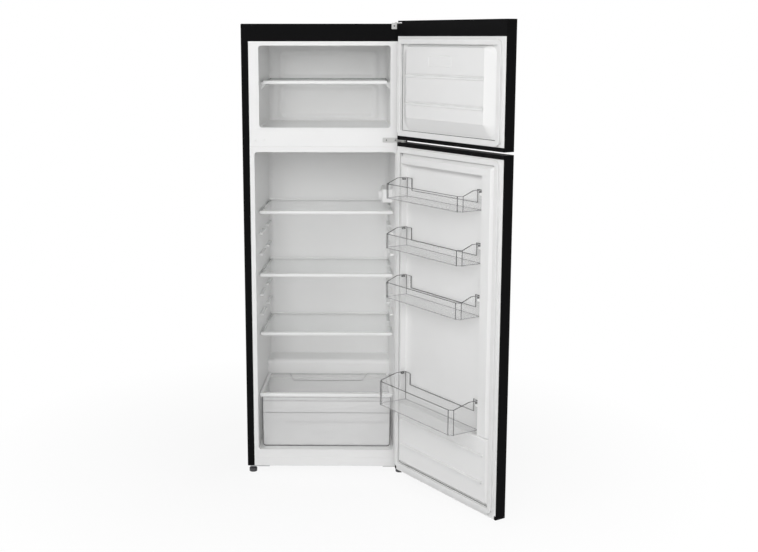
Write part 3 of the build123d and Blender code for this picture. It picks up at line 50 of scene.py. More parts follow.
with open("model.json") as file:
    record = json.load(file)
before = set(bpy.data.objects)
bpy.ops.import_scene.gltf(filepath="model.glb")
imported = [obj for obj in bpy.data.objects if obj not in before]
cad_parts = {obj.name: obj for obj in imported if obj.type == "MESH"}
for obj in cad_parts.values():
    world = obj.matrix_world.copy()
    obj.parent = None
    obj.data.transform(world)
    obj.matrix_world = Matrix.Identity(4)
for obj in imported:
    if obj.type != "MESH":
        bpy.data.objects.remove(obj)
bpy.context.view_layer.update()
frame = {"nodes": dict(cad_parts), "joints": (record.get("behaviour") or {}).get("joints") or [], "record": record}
NODES = frame["nodes"]
RECORD = frame["record"]
BODY_OF = {node: body for body, nodes in RECORD["behaviour"]["bodies"].items() for node in nodes}
SLOT_OF = {entry["node"]: entry["material_slot"] for entry in RECORD["subparts"]}
JOINTS = {joint["name"]: joint for joint in frame["joints"]}

IMAGE_W = 758
SENSOR_W = 36.0
MERGE = 0.00001
BEAD_SIDES = 6
BEAD_POINTS = 13
BEND_POINTS = 6
RIM_SHARE = 0.45
SIDEWAYS = 0.7
FLAT_ANGLE = math.radians(0.4)
SHARP_ANGLE = math.radians(22)
SOFT_ANGLE = math.radians(15)
BINS = ("bottom_bin", "lower_bin", "middle_bin", "top_bin")
SHELVES = ("lower_shelf", "middle_shelf", "upper_shelf", "freezer_shelf")
DOORS = ("freezer_door", "fridge_door")


def door_frame(door):
    """A door's own axes: X from the hinge to the free edge, Y up, Z towards the food."""
    joint = JOINTS[door + "_hinge"]
    swing = -math.radians(joint["range_deg"][0])
    along = Vector((-math.cos(swing), -math.sin(swing), 0))
    inwards = Vector((-math.sin(swing), math.cos(swing), 0))
    up = Vector((0, 0, 1))
    hinge = Vector((joint["pos_m"][0], joint["pos_m"][1], 0))
    axes = Matrix((along, up, inwards)).transposed().to_4x4()
    return Matrix.Translation(hinge) @ axes


def corners_of(points):
    """The lowest and the highest corner of some points."""
    low = Vector([min(point[k] for point in points) for k in range(3)])
    high = Vector([max(point[k] for point in points) for k in range(3)])
    return low, high


def local_points(node, axes):
    """A node's points in a turned frame."""
    inverse = axes.inverted()
    return [inverse @ vertex.co for vertex in NODES[node].data.vertices]


def local_box(node, axes):
    """A node's lowest and highest corner in a turned frame."""
    return corners_of(local_points(node, axes))


class FinishSettings(PropertyGroup):
    """Colours of the refrigerator's finishes."""

    case: FloatVectorProperty(
        name="Case", description="Enamel on the case and the doors", subtype="COLOR",
        default=(0.0050, 0.0050, 0.0053), min=0, max=1,
    )
    liner: FloatVectorProperty(
        name="Liner", description="Formed plastic inside the compartments and doors", subtype="COLOR",
        default=(0.82, 0.82, 0.817), min=0, max=1,
    )
    trim: FloatVectorProperty(
        name="Trim", description="Moulded trims of the shelves and the strip between the doors",
        subtype="COLOR", default=(0.83, 0.83, 0.828), min=0, max=1,
    )
    clear: FloatVectorProperty(
        name="Clear plastic", description="Tint of the door bins", subtype="COLOR",
        default=(0.80, 0.80, 0.80), min=0, max=1,
    )
    glass: FloatVectorProperty(
        name="Glass", description="Tint of the shelves", subtype="COLOR",
        default=(0.80, 0.84, 0.83), min=0, max=1,
    )
    seal: FloatVectorProperty(
        name="Seal", description="Vinyl of the door seals", subtype="COLOR",
        default=(0.80, 0.80, 0.797), min=0, max=1,
    )
    steel: FloatVectorProperty(
        name="Plated steel", description="Hinges and screws", subtype="COLOR",
        default=(0.60, 0.60, 0.59), min=0, max=1,
    )
    frosted: FloatVectorProperty(
        name="Frosted plastic", description="Tint of the drawer and its cover", subtype="COLOR",
        default=(0.95, 0.95, 0.95), min=0, max=1,
    )
    # Painted shade: the colour of the dark beads and end faces along clear pieces' edges, standing in for the
    # darkening that bent light gives such edges.
    line: FloatVectorProperty(
        name="Clear edge shade", description="Tint along the edges of clear pieces", subtype="COLOR",
        default=(0.055, 0.056, 0.058), min=0, max=1,
    )
    clear_body: FloatProperty(
        name="Clear body", description="How much a clear wall hides when seen square on",
        subtype="FACTOR", default=0.09, min=0, max=1,
    )
    clear_edge: FloatProperty(
        name="Clear edge", description="How much a clear piece hides along its edges",
        subtype="FACTOR", default=0.40, min=0, max=1,
    )


class EdgeSettings(PropertyGroup):
    """Rounding and dark lines of painted shade along the pieces' edges, and the count of dial marks."""

    sheet: FloatProperty(
        name="Sheet", description="Folded edges of sheet steel", unit="LENGTH", default=0.0006,
    )
    liner: FloatProperty(
        name="Liner", description="Edges of the formed liners", unit="LENGTH", default=0.0020,
    )
    trim: FloatProperty(
        name="Trim", description="Edges of moulded trims", unit="LENGTH", default=0.0010,
    )
    # Painted shade: this radius also sizes the finest dark beads along the crisper cover and the drawer's bends.
    clear: FloatProperty(
        name="Clear", description="Edges of the bins and the drawer, and their finest lines",
        unit="LENGTH", default=0.0005,
    )
    # Painted shade: the radii of the dark beads along clear edges and round the drawer.
    line: FloatProperty(
        name="Edge shade line", description="Radius of the lines along clear edges", unit="LENGTH", default=0.0008,
    )
    rim: FloatProperty(
        name="Drawer shade line", description="Radius of the lines round the drawer", unit="LENGTH", default=0.0013,
    )
    glass: FloatProperty(
        name="Glass", description="Ground edges of the glass", unit="LENGTH", default=0.0008,
    )
    seal_corner: FloatProperty(
        name="Seal corner", description="Bend of a door seal at its corners", unit="LENGTH", default=0.0130,
    )
    dial_marks: IntProperty(
        name="Dial marks", description="Dots round the thermostat's knob", default=7, min=2,
    )


class StudioSettings(PropertyGroup):
    """Camera, light and floor."""

    camera: FloatVectorProperty(
        name="Camera", description="Where the camera stands", unit="LENGTH",
        default=(0.1585, -4.6349, 1.6428),
    )
    tilt: FloatProperty(
        name="Tilt", description="How far the camera looks down", unit="ROTATION",
        default=math.radians(10.759),
    )
    turn: FloatProperty(
        name="Turn", description="How far the camera turns left", unit="ROTATION",
        default=math.radians(0.795),
    )
    focal_px: FloatProperty(
        name="Focal length", description="In pixels of the picture", default=1200.2,
    )
    shift: FloatVectorProperty(
        name="Shift", description="Shift of the picture, as a part of its width", size=2,
        default=(0.0360, -0.015),
    )
    sky: FloatProperty(
        name="Sky", description="Strength of the even light all round", default=0.18,
    )
    key_power: FloatProperty(
        name="Front lamp", description="Power of the large lamp in front", unit="POWER", default=124.0,
    )
    left_power: FloatProperty(
        name="Left lamp", description="Power of the lamp at the left", unit="POWER", default=60.0,
    )
    right_power: FloatProperty(
        name="Right lamp", description="Power of the lamp at the right", unit="POWER", default=9.0,
    )
    back_power: FloatProperty(
        name="Back lamp", description="Power of the lamp behind", unit="POWER", default=70.0,
    )
    floor: FloatVectorProperty(
        name="Floor", description="Colour of the floor", subtype="COLOR", default=(0.86, 0.86, 0.86),
    )


class Value:
    """An output of a node that takes part in Python expressions: each operator adds a Math node."""

    def __init__(self, graph, socket):
        self.graph = graph
        self.socket = socket

    def math(self, operation, first, second):
        return self.graph.add("ShaderNodeMath", {"operation": operation}, {0: first, 1: second})

    def __add__(self, other):
        return self.math("ADD", self, other)

    def __radd__(self, other):
        return self.math("ADD", other, self)

    def __sub__(self, other):
        return self.math("SUBTRACT", self, other)

    def __rsub__(self, other):
        return self.math("SUBTRACT", other, self)

    def __mul__(self, other):
        return self.math("MULTIPLY", self, other)

    def __rmul__(self, other):
        return self.math("MULTIPLY", other, self)

    def __pow__(self, other):
        return self.math("POWER", self, other)

    def out(self, name):
        """Another output of the same node."""
        return Value(self.graph, self.socket.node.outputs[name])


class Graph:
    """A node tree under construction."""

    def __init__(self, tree):
        self.tree = tree

    def add(self, kind, settings=None, inputs=None):
        """Adds a node: its settings first, then the values or links of its sockets."""
        node = self.tree.nodes.new(kind)
        for name, setting in (settings or {}).items():
            setattr(node, name, setting)
        for key, value in (inputs or {}).items():
            self.feed(node.inputs[key], value)
        return Value(self, node.outputs[0] if node.outputs else None)

    def feed(self, socket, value):
        """Links a value to a socket, or sets the socket to a plain number, colour or vector."""
        if isinstance(value, Value):
            self.tree.links.new(value.socket, socket)
        else:
            socket.default_value = value


class Finish(Graph):
    """A material under construction, with one principled shader."""

    def __init__(self, name):
        self.material = bpy.data.materials.new(name)
        self.material.use_nodes = True
        super().__init__(self.material.node_tree)
        self.tree.nodes.clear()
        self.output = self.tree.nodes.new("ShaderNodeOutputMaterial")
        self.shader = self.tree.nodes.new("ShaderNodeBsdfPrincipled")
        self.tree.links.new(self.shader.outputs[0], self.output.inputs[0])
        self.place = self.add("ShaderNodeTexCoord").out("Object")

    def set(self, **sockets):
        """Feeds the shader's sockets, named in lower case with underscores."""
        for name, value in sockets.items():
            self.feed(self.shader.inputs[name.replace("_", " ").title().replace("Ior", "IOR")], value)
        return self

    def noise(self, scale, detail=2.0, roughness=0.5, stretch=None):
        """Soft noise from 0 to 1, features about 1/scale metres across."""
        place = self.place
        if stretch:
            place = self.add("ShaderNodeMapping", inputs={"Vector": place, "Scale": stretch})
        sockets = {"Vector": place, "Scale": scale, "Detail": detail, "Roughness": roughness}
        return self.add("ShaderNodeTexNoise", inputs=sockets)

    def cells(self, scale):
        """A random grey for each cell of a mosaic."""
        sockets = {"Vector": self.place, "Scale": scale}
        return self.add("ShaderNodeTexVoronoi", inputs=sockets).out("Color")

    def blend(self, factor, first, second):
        """A colour between two colours."""
        mixed = self.add("ShaderNodeMix", {"data_type": "RGBA"}, {0: factor, 6: first, 7: second})
        return Value(self, mixed.socket.node.outputs[2])

    def grain(self, height, depth):
        """A bump normal from a height pattern and its depth in metres."""
        return self.add("ShaderNodeBump", inputs={"Height": height, "Distance": depth, "Strength": 1.0})

    def facing(self):
        """0 where a surface is seen square on, 1 at its outline."""
        return self.add("ShaderNodeLayerWeight", inputs={"Blend": 0.35}).out("Facing")


def grade(colour, factor):
    """A colour made lighter or darker."""
    return (colour[0] * factor, colour[1] * factor, colour[2] * factor, 1.0)


def solid_finish(name, colour, roughness, spread=0.05, mottle=4.0, grain=900.0, depth=0.00002, **sockets):
    """An opaque paint or plastic: faint mottling, uneven gloss and a fine grain."""
    finish = Finish(name)
    cloud = finish.noise(mottle, detail=3.0)
    tone = finish.blend(cloud, grade(colour, 1 - spread), grade(colour, 1 + spread))
    finish.set(base_color=tone, roughness=roughness * (1 - spread) + 2 * spread * roughness * cloud)
    finish.set(normal=finish.grain(finish.noise(grain), depth), **sockets)
    return finish.material


def metal_finish(name, colour, roughness, stretch, depth=0.00001):
    """Bare or plated metal with the marks of rolling or drawing."""
    finish = Finish(name)
    streaks = finish.noise(500.0, detail=3.0, stretch=stretch)
    cloud = finish.noise(14.0, detail=4.0)
    finish.set(base_color=finish.blend(cloud, grade(colour, 0.86), grade(colour, 1.08)))
    finish.set(roughness=roughness - 0.06 + 0.16 * streaks, metallic=1.0)
    finish.set(normal=finish.grain(streaks, depth))
    return finish.material


def zinc_finish(name):
    """Hot-dipped zinc: a mosaic of dull and bright crystals."""
    finish = Finish(name)
    spangle = finish.cells(70.0)
    finish.set(base_color=finish.blend(spangle, (0.42, 0.43, 0.44, 1), (0.58, 0.59, 0.60, 1)))
    finish.set(roughness=0.34 + 0.14 * spangle, metallic=1.0)
    finish.set(normal=finish.grain(finish.noise(300.0), 0.00001))
    return finish.material


def see_through_finish(name, colour, body, edge, roughness, cloud_scale=3.0):
    """Clear plastic or glass: it hides little square on and more towards its outline."""
    finish = Finish(name)
    rim = finish.facing()
    cloud = finish.noise(cloud_scale, detail=2.0)
    finish.set(base_color=finish.blend(cloud, grade(colour, 0.97), grade(colour, 1.03)))
    finish.set(alpha=body + (edge - body) * rim ** 2.0, roughness=roughness + 0.04 * cloud)
    finish.set(specular_ior_level=0.4)
    return finish.material


def make_finishes(settings):
    """All materials by the record's slot, then those that only this script's own pieces and copies take."""
    case = settings.case
    white = {"coat_weight": 0.15, "specular_ior_level": 0.45}
    black = {"specular_ior_level": 0.03}
    body, edge = settings.clear_body, settings.clear_edge
    return {
        "black_paint": solid_finish("case_enamel", case, 0.36, 0.14, 5.0, 620.0, 0.00004, **black),
        "black_plastic": solid_finish("black_cap", case, 0.46, 0.12, 9.0, 1500.0, 0.00005, **black),
        "zinc_steel": zinc_finish("zinc_sheet"),
        "foam": solid_finish("rigid_foam", (0.78, 0.68, 0.42), 0.8, 0.1, 60.0, 400.0, 0.0004),
        "white_liner": solid_finish("formed_liner", settings.liner, 0.30, 0.02, 3.0, 140.0, 0.00004, **white),
        "white_trim": solid_finish("white_moulding", settings.trim, 0.34, 0.02, 6.0, 900.0, 0.00002, **white),
        "white_paint": solid_finish("white_enamel", settings.trim, 0.26, 0.02, 6.0, 420.0, 0.00003, **white),
        "pale_trim": solid_finish("shelf_trim", settings.trim, 0.30, 0.02, 8.0, 1100.0, 0.00002, **white),
        "shelf_glass": see_through_finish("shelf_glass", settings.glass, 0.035, 0.22, 0.03),
        "clear_plastic": see_through_finish("clear_moulding", settings.clear, body, edge, 0.06),
        "lens_plastic": see_through_finish("frosted_lens", (0.9, 0.9, 0.89), 0.75, 0.95, 0.4, 40.0),
        "seal": solid_finish("seal_vinyl", settings.seal, 0.55, 0.05, 20.0, 1500.0, 0.00003),
        "bush_plastic": solid_finish("natural_bush", (0.72, 0.71, 0.67), 0.4),
        "hinge_steel": metal_finish("plated_steel", settings.steel, 0.30, (1.0, 1.0, 6.0)),
        "foot_plastic": solid_finish("foot_grey", (0.055, 0.055, 0.058), 0.5, 0.15, 30.0, 1300.0, 0.00006),
        "aluminium_plate": metal_finish("rolled_plate", (0.76, 0.76, 0.77), 0.32, (8.0, 1.0, 1.0)),
        "board": solid_finish("lamp_board", (0.75, 0.78, 0.75), 0.4),
        "compressor_paint": solid_finish(
            "pump_enamel", (0.012, 0.012, 0.013), 0.24, 0.2, 14.0, 260.0, 0.00008,
        ),
        "dark_rubber": solid_finish("grommet_rubber", (0.022, 0.022, 0.022), 0.7, 0.2, 60.0, 900.0, 0.0001),
        "copper": metal_finish("drawn_copper", (0.72, 0.40, 0.27), 0.28, (6.0, 6.0, 1.0)),
        "coil_paint": solid_finish("coil_enamel", (0.014, 0.014, 0.015), 0.42, 0.2, 20.0, 700.0, 0.00005),
        # Painted shade: the dark tint of the beads and end faces along clear pieces' edges.
        "clear_edge_shade": see_through_finish("clear_edges", settings.line, 0.62, 0.80, 0.12),
        # Partly real, partly painted shadow: the green of a glass edge, made dark for the shade in the gap beside
        # the shelf's edges.
        "glass_edge_tint_and_shade": see_through_finish("glass_edges", (0.09, 0.125, 0.115), 0.72, 0.88, 0.05),
        "frosted": see_through_finish("frosted_moulding", settings.frosted, 0.36, 0.68, 0.22),
        "cover": see_through_finish("clear_cover", settings.frosted, 0.14, 0.42, 0.06),
        # Painted shade: the dark cross set in each screw head's driver recess.
        "recess": solid_finish("screw_recess", (0.02, 0.02, 0.02), 0.6),
    }


def link_piece(name, mesh, body):
    """Puts a finished mesh in the scene, riding on a body and taking its finish from a slot."""
    piece = bpy.data.objects.new(name, mesh)
    bpy.context.scene.collection.objects.link(piece)
    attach(piece, body)
    return piece


def even_normals(piece):
    """Shades the flats flat and the rounded edges round."""
    piece.data.set_sharp_from_angle(angle=SHARP_ANGLE)
    modifier = piece.modifiers.new("Even normals", "WEIGHTED_NORMAL")
    modifier.keep_sharp = True


def clean_shape(node):
    """A solid's faces, joined into whole flats."""
    shape = bmesh.new()
    shape.from_mesh(NODES[node].data)
    bmesh.ops.remove_doubles(shape, verts=shape.verts, dist=MERGE)
    bmesh.ops.dissolve_limit(shape, angle_limit=FLAT_ANGLE, verts=shape.verts, edges=shape.edges)
    return shape


def sharp_edges(shape, angle):
    """The edges at which two faces meet at more than an angle."""
    return [edge for edge in shape.edges if len(edge.link_faces) == 2 and edge.calc_face_angle() > angle]


class Dresser:
    """Shares the finishes between the operators and dresses solids with them."""

    finishes = {}

    @classmethod
    def finish_of(cls, node):
        return cls.finishes[SLOT_OF[node]]

    @classmethod
    def coat(cls, *nodes):
        """Gives solids their finish as they are."""
        for node in nodes:
            mesh = NODES[node].data
            mesh.materials.clear()
            mesh.materials.append(cls.finish_of(node))

    @classmethod
    def soften(cls, node, radius, segments=2, finish=None, side_finish=None):
        """Shows a solid as a copy with rounded edges.

        finish takes the place of the solid's own finish, and side_finish covers the faces at its
        left and right ends.
        """
        shape = clean_shape(node)
        bmesh.ops.bevel(
            shape, geom=sharp_edges(shape, SHARP_ANGLE), offset=radius, offset_type="OFFSET",
            segments=segments, profile=0.5, affect="EDGES", clamp_overlap=True,
        )
        for face in shape.faces:
            face.smooth = True
            if side_finish and abs(face.normal.x) > SIDEWAYS:
                face.material_index = 1
        mesh = bpy.data.meshes.new(node + "_shown")
        shape.to_mesh(mesh)
        shape.free()
        mesh.materials.append(cls.finishes[finish] if finish else cls.finish_of(node))
        if side_finish:
            mesh.materials.append(cls.finishes[side_finish])
        piece = link_piece(node + "_shown", mesh, BODY_OF[node])
        even_normals(piece)
        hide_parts(node)
        return piece

    @classmethod
    def trace_edges(cls, node, radius, angle, finish="clear_edge_shade", keep=None, suffix="_edges"):
        """Draws fine dark beads along a clear piece's edges: painted shade standing in for the darkening that bent
        light gives such edges.

        keep tells from the middle of an edge whether it is drawn.
        """
        shape = clean_shape(node)
        edges = sharp_edges(shape, angle)
        if keep:
            edges = [edge for edge in edges if keep((edge.verts[0].co + edge.verts[1].co) / 2)]
        corners = {vertex: number for number, vertex in enumerate({v for edge in edges for v in edge.verts})}
        seed = bpy.data.meshes.new(node + suffix)
        ends = [[corners[vertex] for vertex in edge.verts] for edge in edges]
        seed.from_pydata([vertex.co.copy() for vertex in corners], ends, [])
        shape.free()
        graph = bead_graph("Edge shade beads", cls.finishes[finish])
        grow(node + suffix, seed, graph, {"Radius": radius}, BODY_OF[node])


def grow(name, seed, graph, sizes, body, axes=None):
    """Evaluates a geometry node tree on a seed mesh and keeps the result as a plain piece."""
    piece = bpy.data.objects.new(name, seed)
    bpy.context.scene.collection.objects.link(piece)
    modifier = piece.modifiers.new(graph.tree.name, "NODES")
    modifier.node_group = graph.tree
    for item in graph.tree.interface.items_tree:
        if item.in_out == "INPUT" and item.name in sizes:
            modifier[item.identifier] = sizes[item.name]
    view = bpy.context.evaluated_depsgraph_get()
    mesh = bpy.data.meshes.new_from_object(piece.evaluated_get(view))
    piece.modifiers.remove(modifier)
    piece.data = mesh
    if axes:
        mesh.transform(axes)
    shape = bmesh.new()
    shape.from_mesh(mesh)
    bmesh.ops.recalc_face_normals(shape, faces=shape.faces)
    for face in shape.faces:
        face.smooth = True
    shape.to_mesh(mesh)
    shape.free()
    even_normals(piece)
    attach(piece, body)
    return piece


def new_geometry_graph(name, sizes):
    """An empty geometry tree with a geometry input, named sizes and a geometry output."""
    tree = bpy.data.node_groups.new(name, "GeometryNodeTree")
    tree.interface.new_socket("Geometry", in_out="INPUT", socket_type="NodeSocketGeometry")
    tree.interface.new_socket("Geometry", in_out="OUTPUT", socket_type="NodeSocketGeometry")
    for size in sizes:
        tree.interface.new_socket(size, in_out="INPUT", socket_type="NodeSocketFloat")
    graph = Graph(tree)
    graph.inputs = graph.add("NodeGroupInput")
    return graph


def close_graph(graph, geometry, material):
    """Ends a geometry tree in plain faces with their finish."""
    plain = graph.add("GeometryNodeRealizeInstances", inputs={"Geometry": geometry})
    coated = graph.add("GeometryNodeSetMaterial", inputs={"Geometry": plain, "Material": material})
    graph.add("NodeGroupOutput", inputs={0: coated})
    return graph


def sweep_graph(name, material):
    """Sweeps the seed's outline round a rectangle with bent corners."""
    graph = new_geometry_graph(name, ("Width", "Height", "Corner"))
    outline = graph.add("GeometryNodeMeshToCurve", inputs={"Mesh": graph.inputs})
    sides = {"Width": graph.inputs.out("Width"), "Height": graph.inputs.out("Height")}
    path = graph.add("GeometryNodeCurvePrimitiveQuadrilateral", inputs=sides)
    bends = {"Curve": path, "Radius": graph.inputs.out("Corner"), "Count": BEND_POINTS}
    path = graph.add("GeometryNodeFilletCurve", {"mode": "POLY"}, bends)
    swept = graph.add("GeometryNodeCurveToMesh", inputs={"Curve": path, "Profile Curve": outline})
    return close_graph(graph, swept, material)


def bead_graph(name, material):
    """Follows the seed's edges with a round bead."""
    graph = new_geometry_graph(name, ("Radius",))
    path = graph.add("GeometryNodeMeshToCurve", inputs={"Mesh": graph.inputs})
    round_profile = {"Radius": graph.inputs.out("Radius"), "Resolution": BEAD_SIDES}
    profile = graph.add("GeometryNodeCurvePrimitiveCircle", inputs=round_profile)
    bead = graph.add("GeometryNodeCurveToMesh", inputs={"Curve": path, "Profile Curve": profile})
    return close_graph(graph, bead, material)


def scatter_graph(name, sample, material):
    """Sets a copy of the sample on each point of the seed, turned and sized by the point's axis."""
    graph = new_geometry_graph(name, ("Size",))
    shape = graph.add("GeometryNodeObjectInfo", inputs={"Object": sample}).out("Geometry")
    axis = graph.add("GeometryNodeInputNamedAttribute", {"data_type": "FLOAT_VECTOR"}, {"Name": "axis"})
    turn = graph.add("FunctionNodeAlignEulerToVector", {"axis": "Z"}, {"Vector": axis})
    reach = graph.add("ShaderNodeVectorMath", {"operation": "LENGTH"}, {0: axis}).out("Value")
    size = reach * graph.inputs.out("Size")
    sockets = {"Points": graph.inputs, "Instance": shape, "Rotation": turn, "Scale": size}
    return close_graph(graph, graph.add("GeometryNodeInstanceOnPoints", inputs=sockets), material)


def outline_seed(name, points):
    """A closed outline as a mesh of edges, upside down because a sweep round a flat path turns it over."""
    mesh = bpy.data.meshes.new(name + "_outline")
    rings = [(k, (k + 1) % len(points)) for k in range(len(points))]
    mesh.from_pydata([(x, -y, 0) for x, y in points], rings, [])
    return mesh


def low_bead(name, half, rise):
    """The outline of a low bead that swells softly out of a wall."""
    steps = [1 - 2 * step / (BEAD_POINTS - 1) for step in range(BEAD_POINTS)]
    return outline_seed(name, [(half * t, rise * (0.5 + 0.5 * math.cos(math.pi * t))) for t in steps])


def point_seed(name, places):
    """A mesh of loose points, each with an axis."""
    mesh = bpy.data.meshes.new(name)
    mesh.from_pydata([place for place, _ in places], [], [])
    axes = mesh.attributes.new("axis", "FLOAT_VECTOR", "POINT")
    for entry, (_, axis) in zip(axes.data, places):
        entry.vector = axis
    return mesh


def turned_sample(name, rings, sides, outline=None):
    """A lathe shape from (radius, height, marked) rings; outline scales the marked ones round the turn."""
    mesh = bpy.data.meshes.new(name)
    shape = bmesh.new()
    loops = []
    for radius, height, marked in rings:
        loop = []
        for side in range(sides):
            angle = 2 * math.pi * side / sides
            reach = radius * (outline(angle) if marked else 1.0)
            loop.append(shape.verts.new((reach * math.cos(angle), reach * math.sin(angle), height)))
        loops.append(loop)
    for low, high in zip(loops[:-1], loops[1:]):
        for side in range(sides):
            after = (side + 1) % sides
            shape.faces.new((low[side], low[after], high[after], high[side]))
    shape.faces.new(loops[-1])
    shape.faces.new(list(reversed(loops[0])))
    shape.to_mesh(mesh)
    shape.free()
    return bpy.data.objects.new(name, mesh)


def islands(node):
    """The separate solids of a node, as lists of points."""
    shape = bmesh.new()
    shape.from_mesh(NODES[node].data)
    bmesh.ops.remove_doubles(shape, verts=shape.verts, dist=MERGE)
    left = set(shape.verts)
    found = []
    while left:
        stack = [left.pop()]
        points = []
        while stack:
            vertex = stack.pop()
            points.append(vertex.co.copy())
            for edge in vertex.link_edges:
                other = edge.other_vert(vertex)
                if other in left:
                    left.remove(other)
                    stack.append(other)
        found.append(points)
    shape.free()
    return found


def off_axis(offset, k):
    """How far an offset lies from the axis with number k."""
    across = offset.copy()
    across[k] = 0
    return across.length


def screw_places():
    """Where each screw's head starts, and the way it points, read from the screw solids."""
    places = []
    for points in islands("hinge_screws"):
        low, high = corners_of(points)
        size = high - low
        k = min(range(3), key=lambda n: size[n])
        middle = (low + high) / 2
        rim = [point for point in points if off_axis(point - middle, k) > RIM_SHARE * max(size)]
        seat = sum(point[k] for point in rim) / len(rim)
        axis = Vector((0, 0, 0))
        axis[k] = 1.0 if seat > middle[k] else -1.0
        place = middle.copy()
        place[k] = seat
        places.append((place, axis))
    return places


class FridgeOperator:
    """What the operators share."""

    bl_options = {"REGISTER", "UNDO"}


class FRIDGE_OT_finishes(FridgeOperator, Operator):
    """Make the materials"""

    bl_idname = "fridge.finishes"
    bl_label = "Finishes"

    def execute(self, context):
        Dresser.finishes = make_finishes(context.scene.fridge_finish)
        return {"FINISHED"}


class FRIDGE_OT_case(FridgeOperator, Operator):
    """Dress the steel case, its rear panel, its base and the strips at its front"""

    bl_idname = "fridge.case"
    bl_label = "Case"

    PLUG = (
        (0.0046, 0.0, False),
        (0.0046, 0.0006, False),
        (0.0040, 0.0011, False),
        (0.0020, 0.0013, False),
    )
    SIDES = 24

    def execute(self, context):
        edges = context.scene.fridge_edges
        Dresser.coat("cabinet_foam", "evaporator_plate")
        for node in ("outer_shell", "back_panel", "base_pan"):
            Dresser.soften(node, edges.sheet / 2)
        Dresser.soften("mullion_strip", edges.trim)
        Dresser.soften("front_rail", edges.trim)
        self.plugs()
        return {"FINISHED"}

    def plugs(self):
        """Blind plugs on the left of the strip, where the hinge goes when the doors are turned round."""
        low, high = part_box("mullion_strip")
        places = [
            (Vector((-place.x, place.y, place.z)), axis)
            for place, axis in screw_places()
            if low[2] < place.z < high[2]
        ]
        sample = turned_sample("blind_plug", self.PLUG, self.SIDES)
        graph = scatter_graph("Plugs", sample, Dresser.finishes["white_trim"])
        seed = point_seed("plug_places", places)
        grow("mullion_plugs", seed, graph, {"Size": 1.0}, "cabinet")


class FRIDGE_OT_liners(FridgeOperator, Operator):
    """Dress the formed liners of the two compartments"""

    bl_idname = "fridge.liners"
    bl_label = "Liners"

    LINER_T = 0.002
    RING_RISE = 0.004
    RING_W = 0.007
    BEAD_HALF = 0.017
    BEAD_RISE = 0.0050
    BEAD_CORNER = 0.018

    def execute(self, context):
        edges = context.scene.fridge_edges
        for node in ("fridge_liner", "freezer_liner"):
            Dresser.soften(node, edges.liner, 3)
        self.wall_beads()
        return {"FINISHED"}

    def wall_beads(self):
        """Rounds the two outlines pressed into the freezer's rear wall."""
        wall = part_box("freezer_liner")[1][1] - self.LINER_T
        face = wall - self.RING_RISE
        ring = [v.co for v in NODES["freezer_liner"].data.vertices if abs(v.co.y - face) < MERGE]
        middle = (min(co.z for co in ring) + max(co.z for co in ring)) / 2
        graph = sweep_graph("Wall bead", Dresser.finishes["white_liner"])
        parts = {
            "lower": [co for co in ring if co.z < middle],
            "upper": [co for co in ring if co.z > middle],
        }
        for name, part in parts.items():
            low, high = corners_of(part)
            sizes = {
                "Width": high.x - low.x - self.RING_W,
                "Height": high.z - low.z - self.RING_W,
                "Corner": self.BEAD_CORNER,
            }
            middle_place = Matrix.Translation(((low.x + high.x) / 2, wall, (low.z + high.z) / 2))
            seed = low_bead(name + "_bead", self.BEAD_HALF, self.BEAD_RISE)
            place = middle_place @ Matrix.Rotation(math.pi / 2, 4, "X")
            grow("freezer_wall_bead_" + name, seed, graph, sizes, "cabinet", place)


class FRIDGE_OT_shelves(FridgeOperator, Operator):
    """Dress the glass shelves and their trims"""

    bl_idname = "fridge.shelves"
    bl_label = "Shelves"

    def execute(self, context):
        edges = context.scene.fridge_edges
        for shelf in SHELVES:
            # The glass's end faces take the edge tint: the green of a glass edge plus painted shadow of the gap
            # beside it.
            Dresser.soften(shelf + "_glass", edges.glass, side_finish="glass_edge_tint_and_shade")
            trim = "_trim" if shelf == "freezer_shelf" else "_trims"
            Dresser.soften(shelf + trim, edges.trim)
        # Painted shade: dark beads along the freezer shelf glass's edges.
        Dresser.trace_edges("freezer_shelf_glass", edges.line, SHARP_ANGLE, "glass_edge_tint_and_shade")
        return {"FINISHED"}


class FRIDGE_OT_crisper(FridgeOperator, Operator):
    """Dress the crisper drawer and its cover"""

    bl_idname = "fridge.crisper"
    bl_label = "Crisper"

    RIM = 0.012
    BAND = 0.016
    SLOPE = 0.042
    NEAR = 0.0005

    def execute(self, context):
        edges = context.scene.fridge_edges
        # Painted shade: the cover's end faces and the beads along its edges are dark.
        Dresser.soften("crisper_cover", edges.glass, finish="cover", side_finish="clear_edge_shade")
        Dresser.trace_edges("crisper_cover", edges.clear, SHARP_ANGLE)
        Dresser.soften("crisper_cover_trim", edges.trim)
        Dresser.soften("crisper_drawer", edges.clear, finish="frosted")
        # Painted shade: dark beads round the drawer's bottom and sides, and along its bends above and below the
        # slope, where shade would fall.
        Dresser.trace_edges("crisper_drawer", edges.rim, SHARP_ANGLE, keep=self.on_rim)
        Dresser.trace_edges(
            "crisper_drawer", edges.clear, SOFT_ANGLE, keep=self.on_shoulder, suffix="_shoulder",
        )
        return {"FINISHED"}

    def on_rim(self, place):
        """Whether a place is at the drawer's bottom or at its sides."""
        low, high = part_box("crisper_drawer")
        return place.z < low[2] + self.RIM or place.x < low[0] + self.RIM or place.x > high[0] - self.RIM

    def on_shoulder(self, place):
        """Whether a place is where the drawer's front bends, above or below its slope."""
        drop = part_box("crisper_drawer")[1][2] - place.z
        return abs(drop - self.BAND) < self.NEAR or abs(drop - self.BAND - self.SLOPE) < self.NEAR


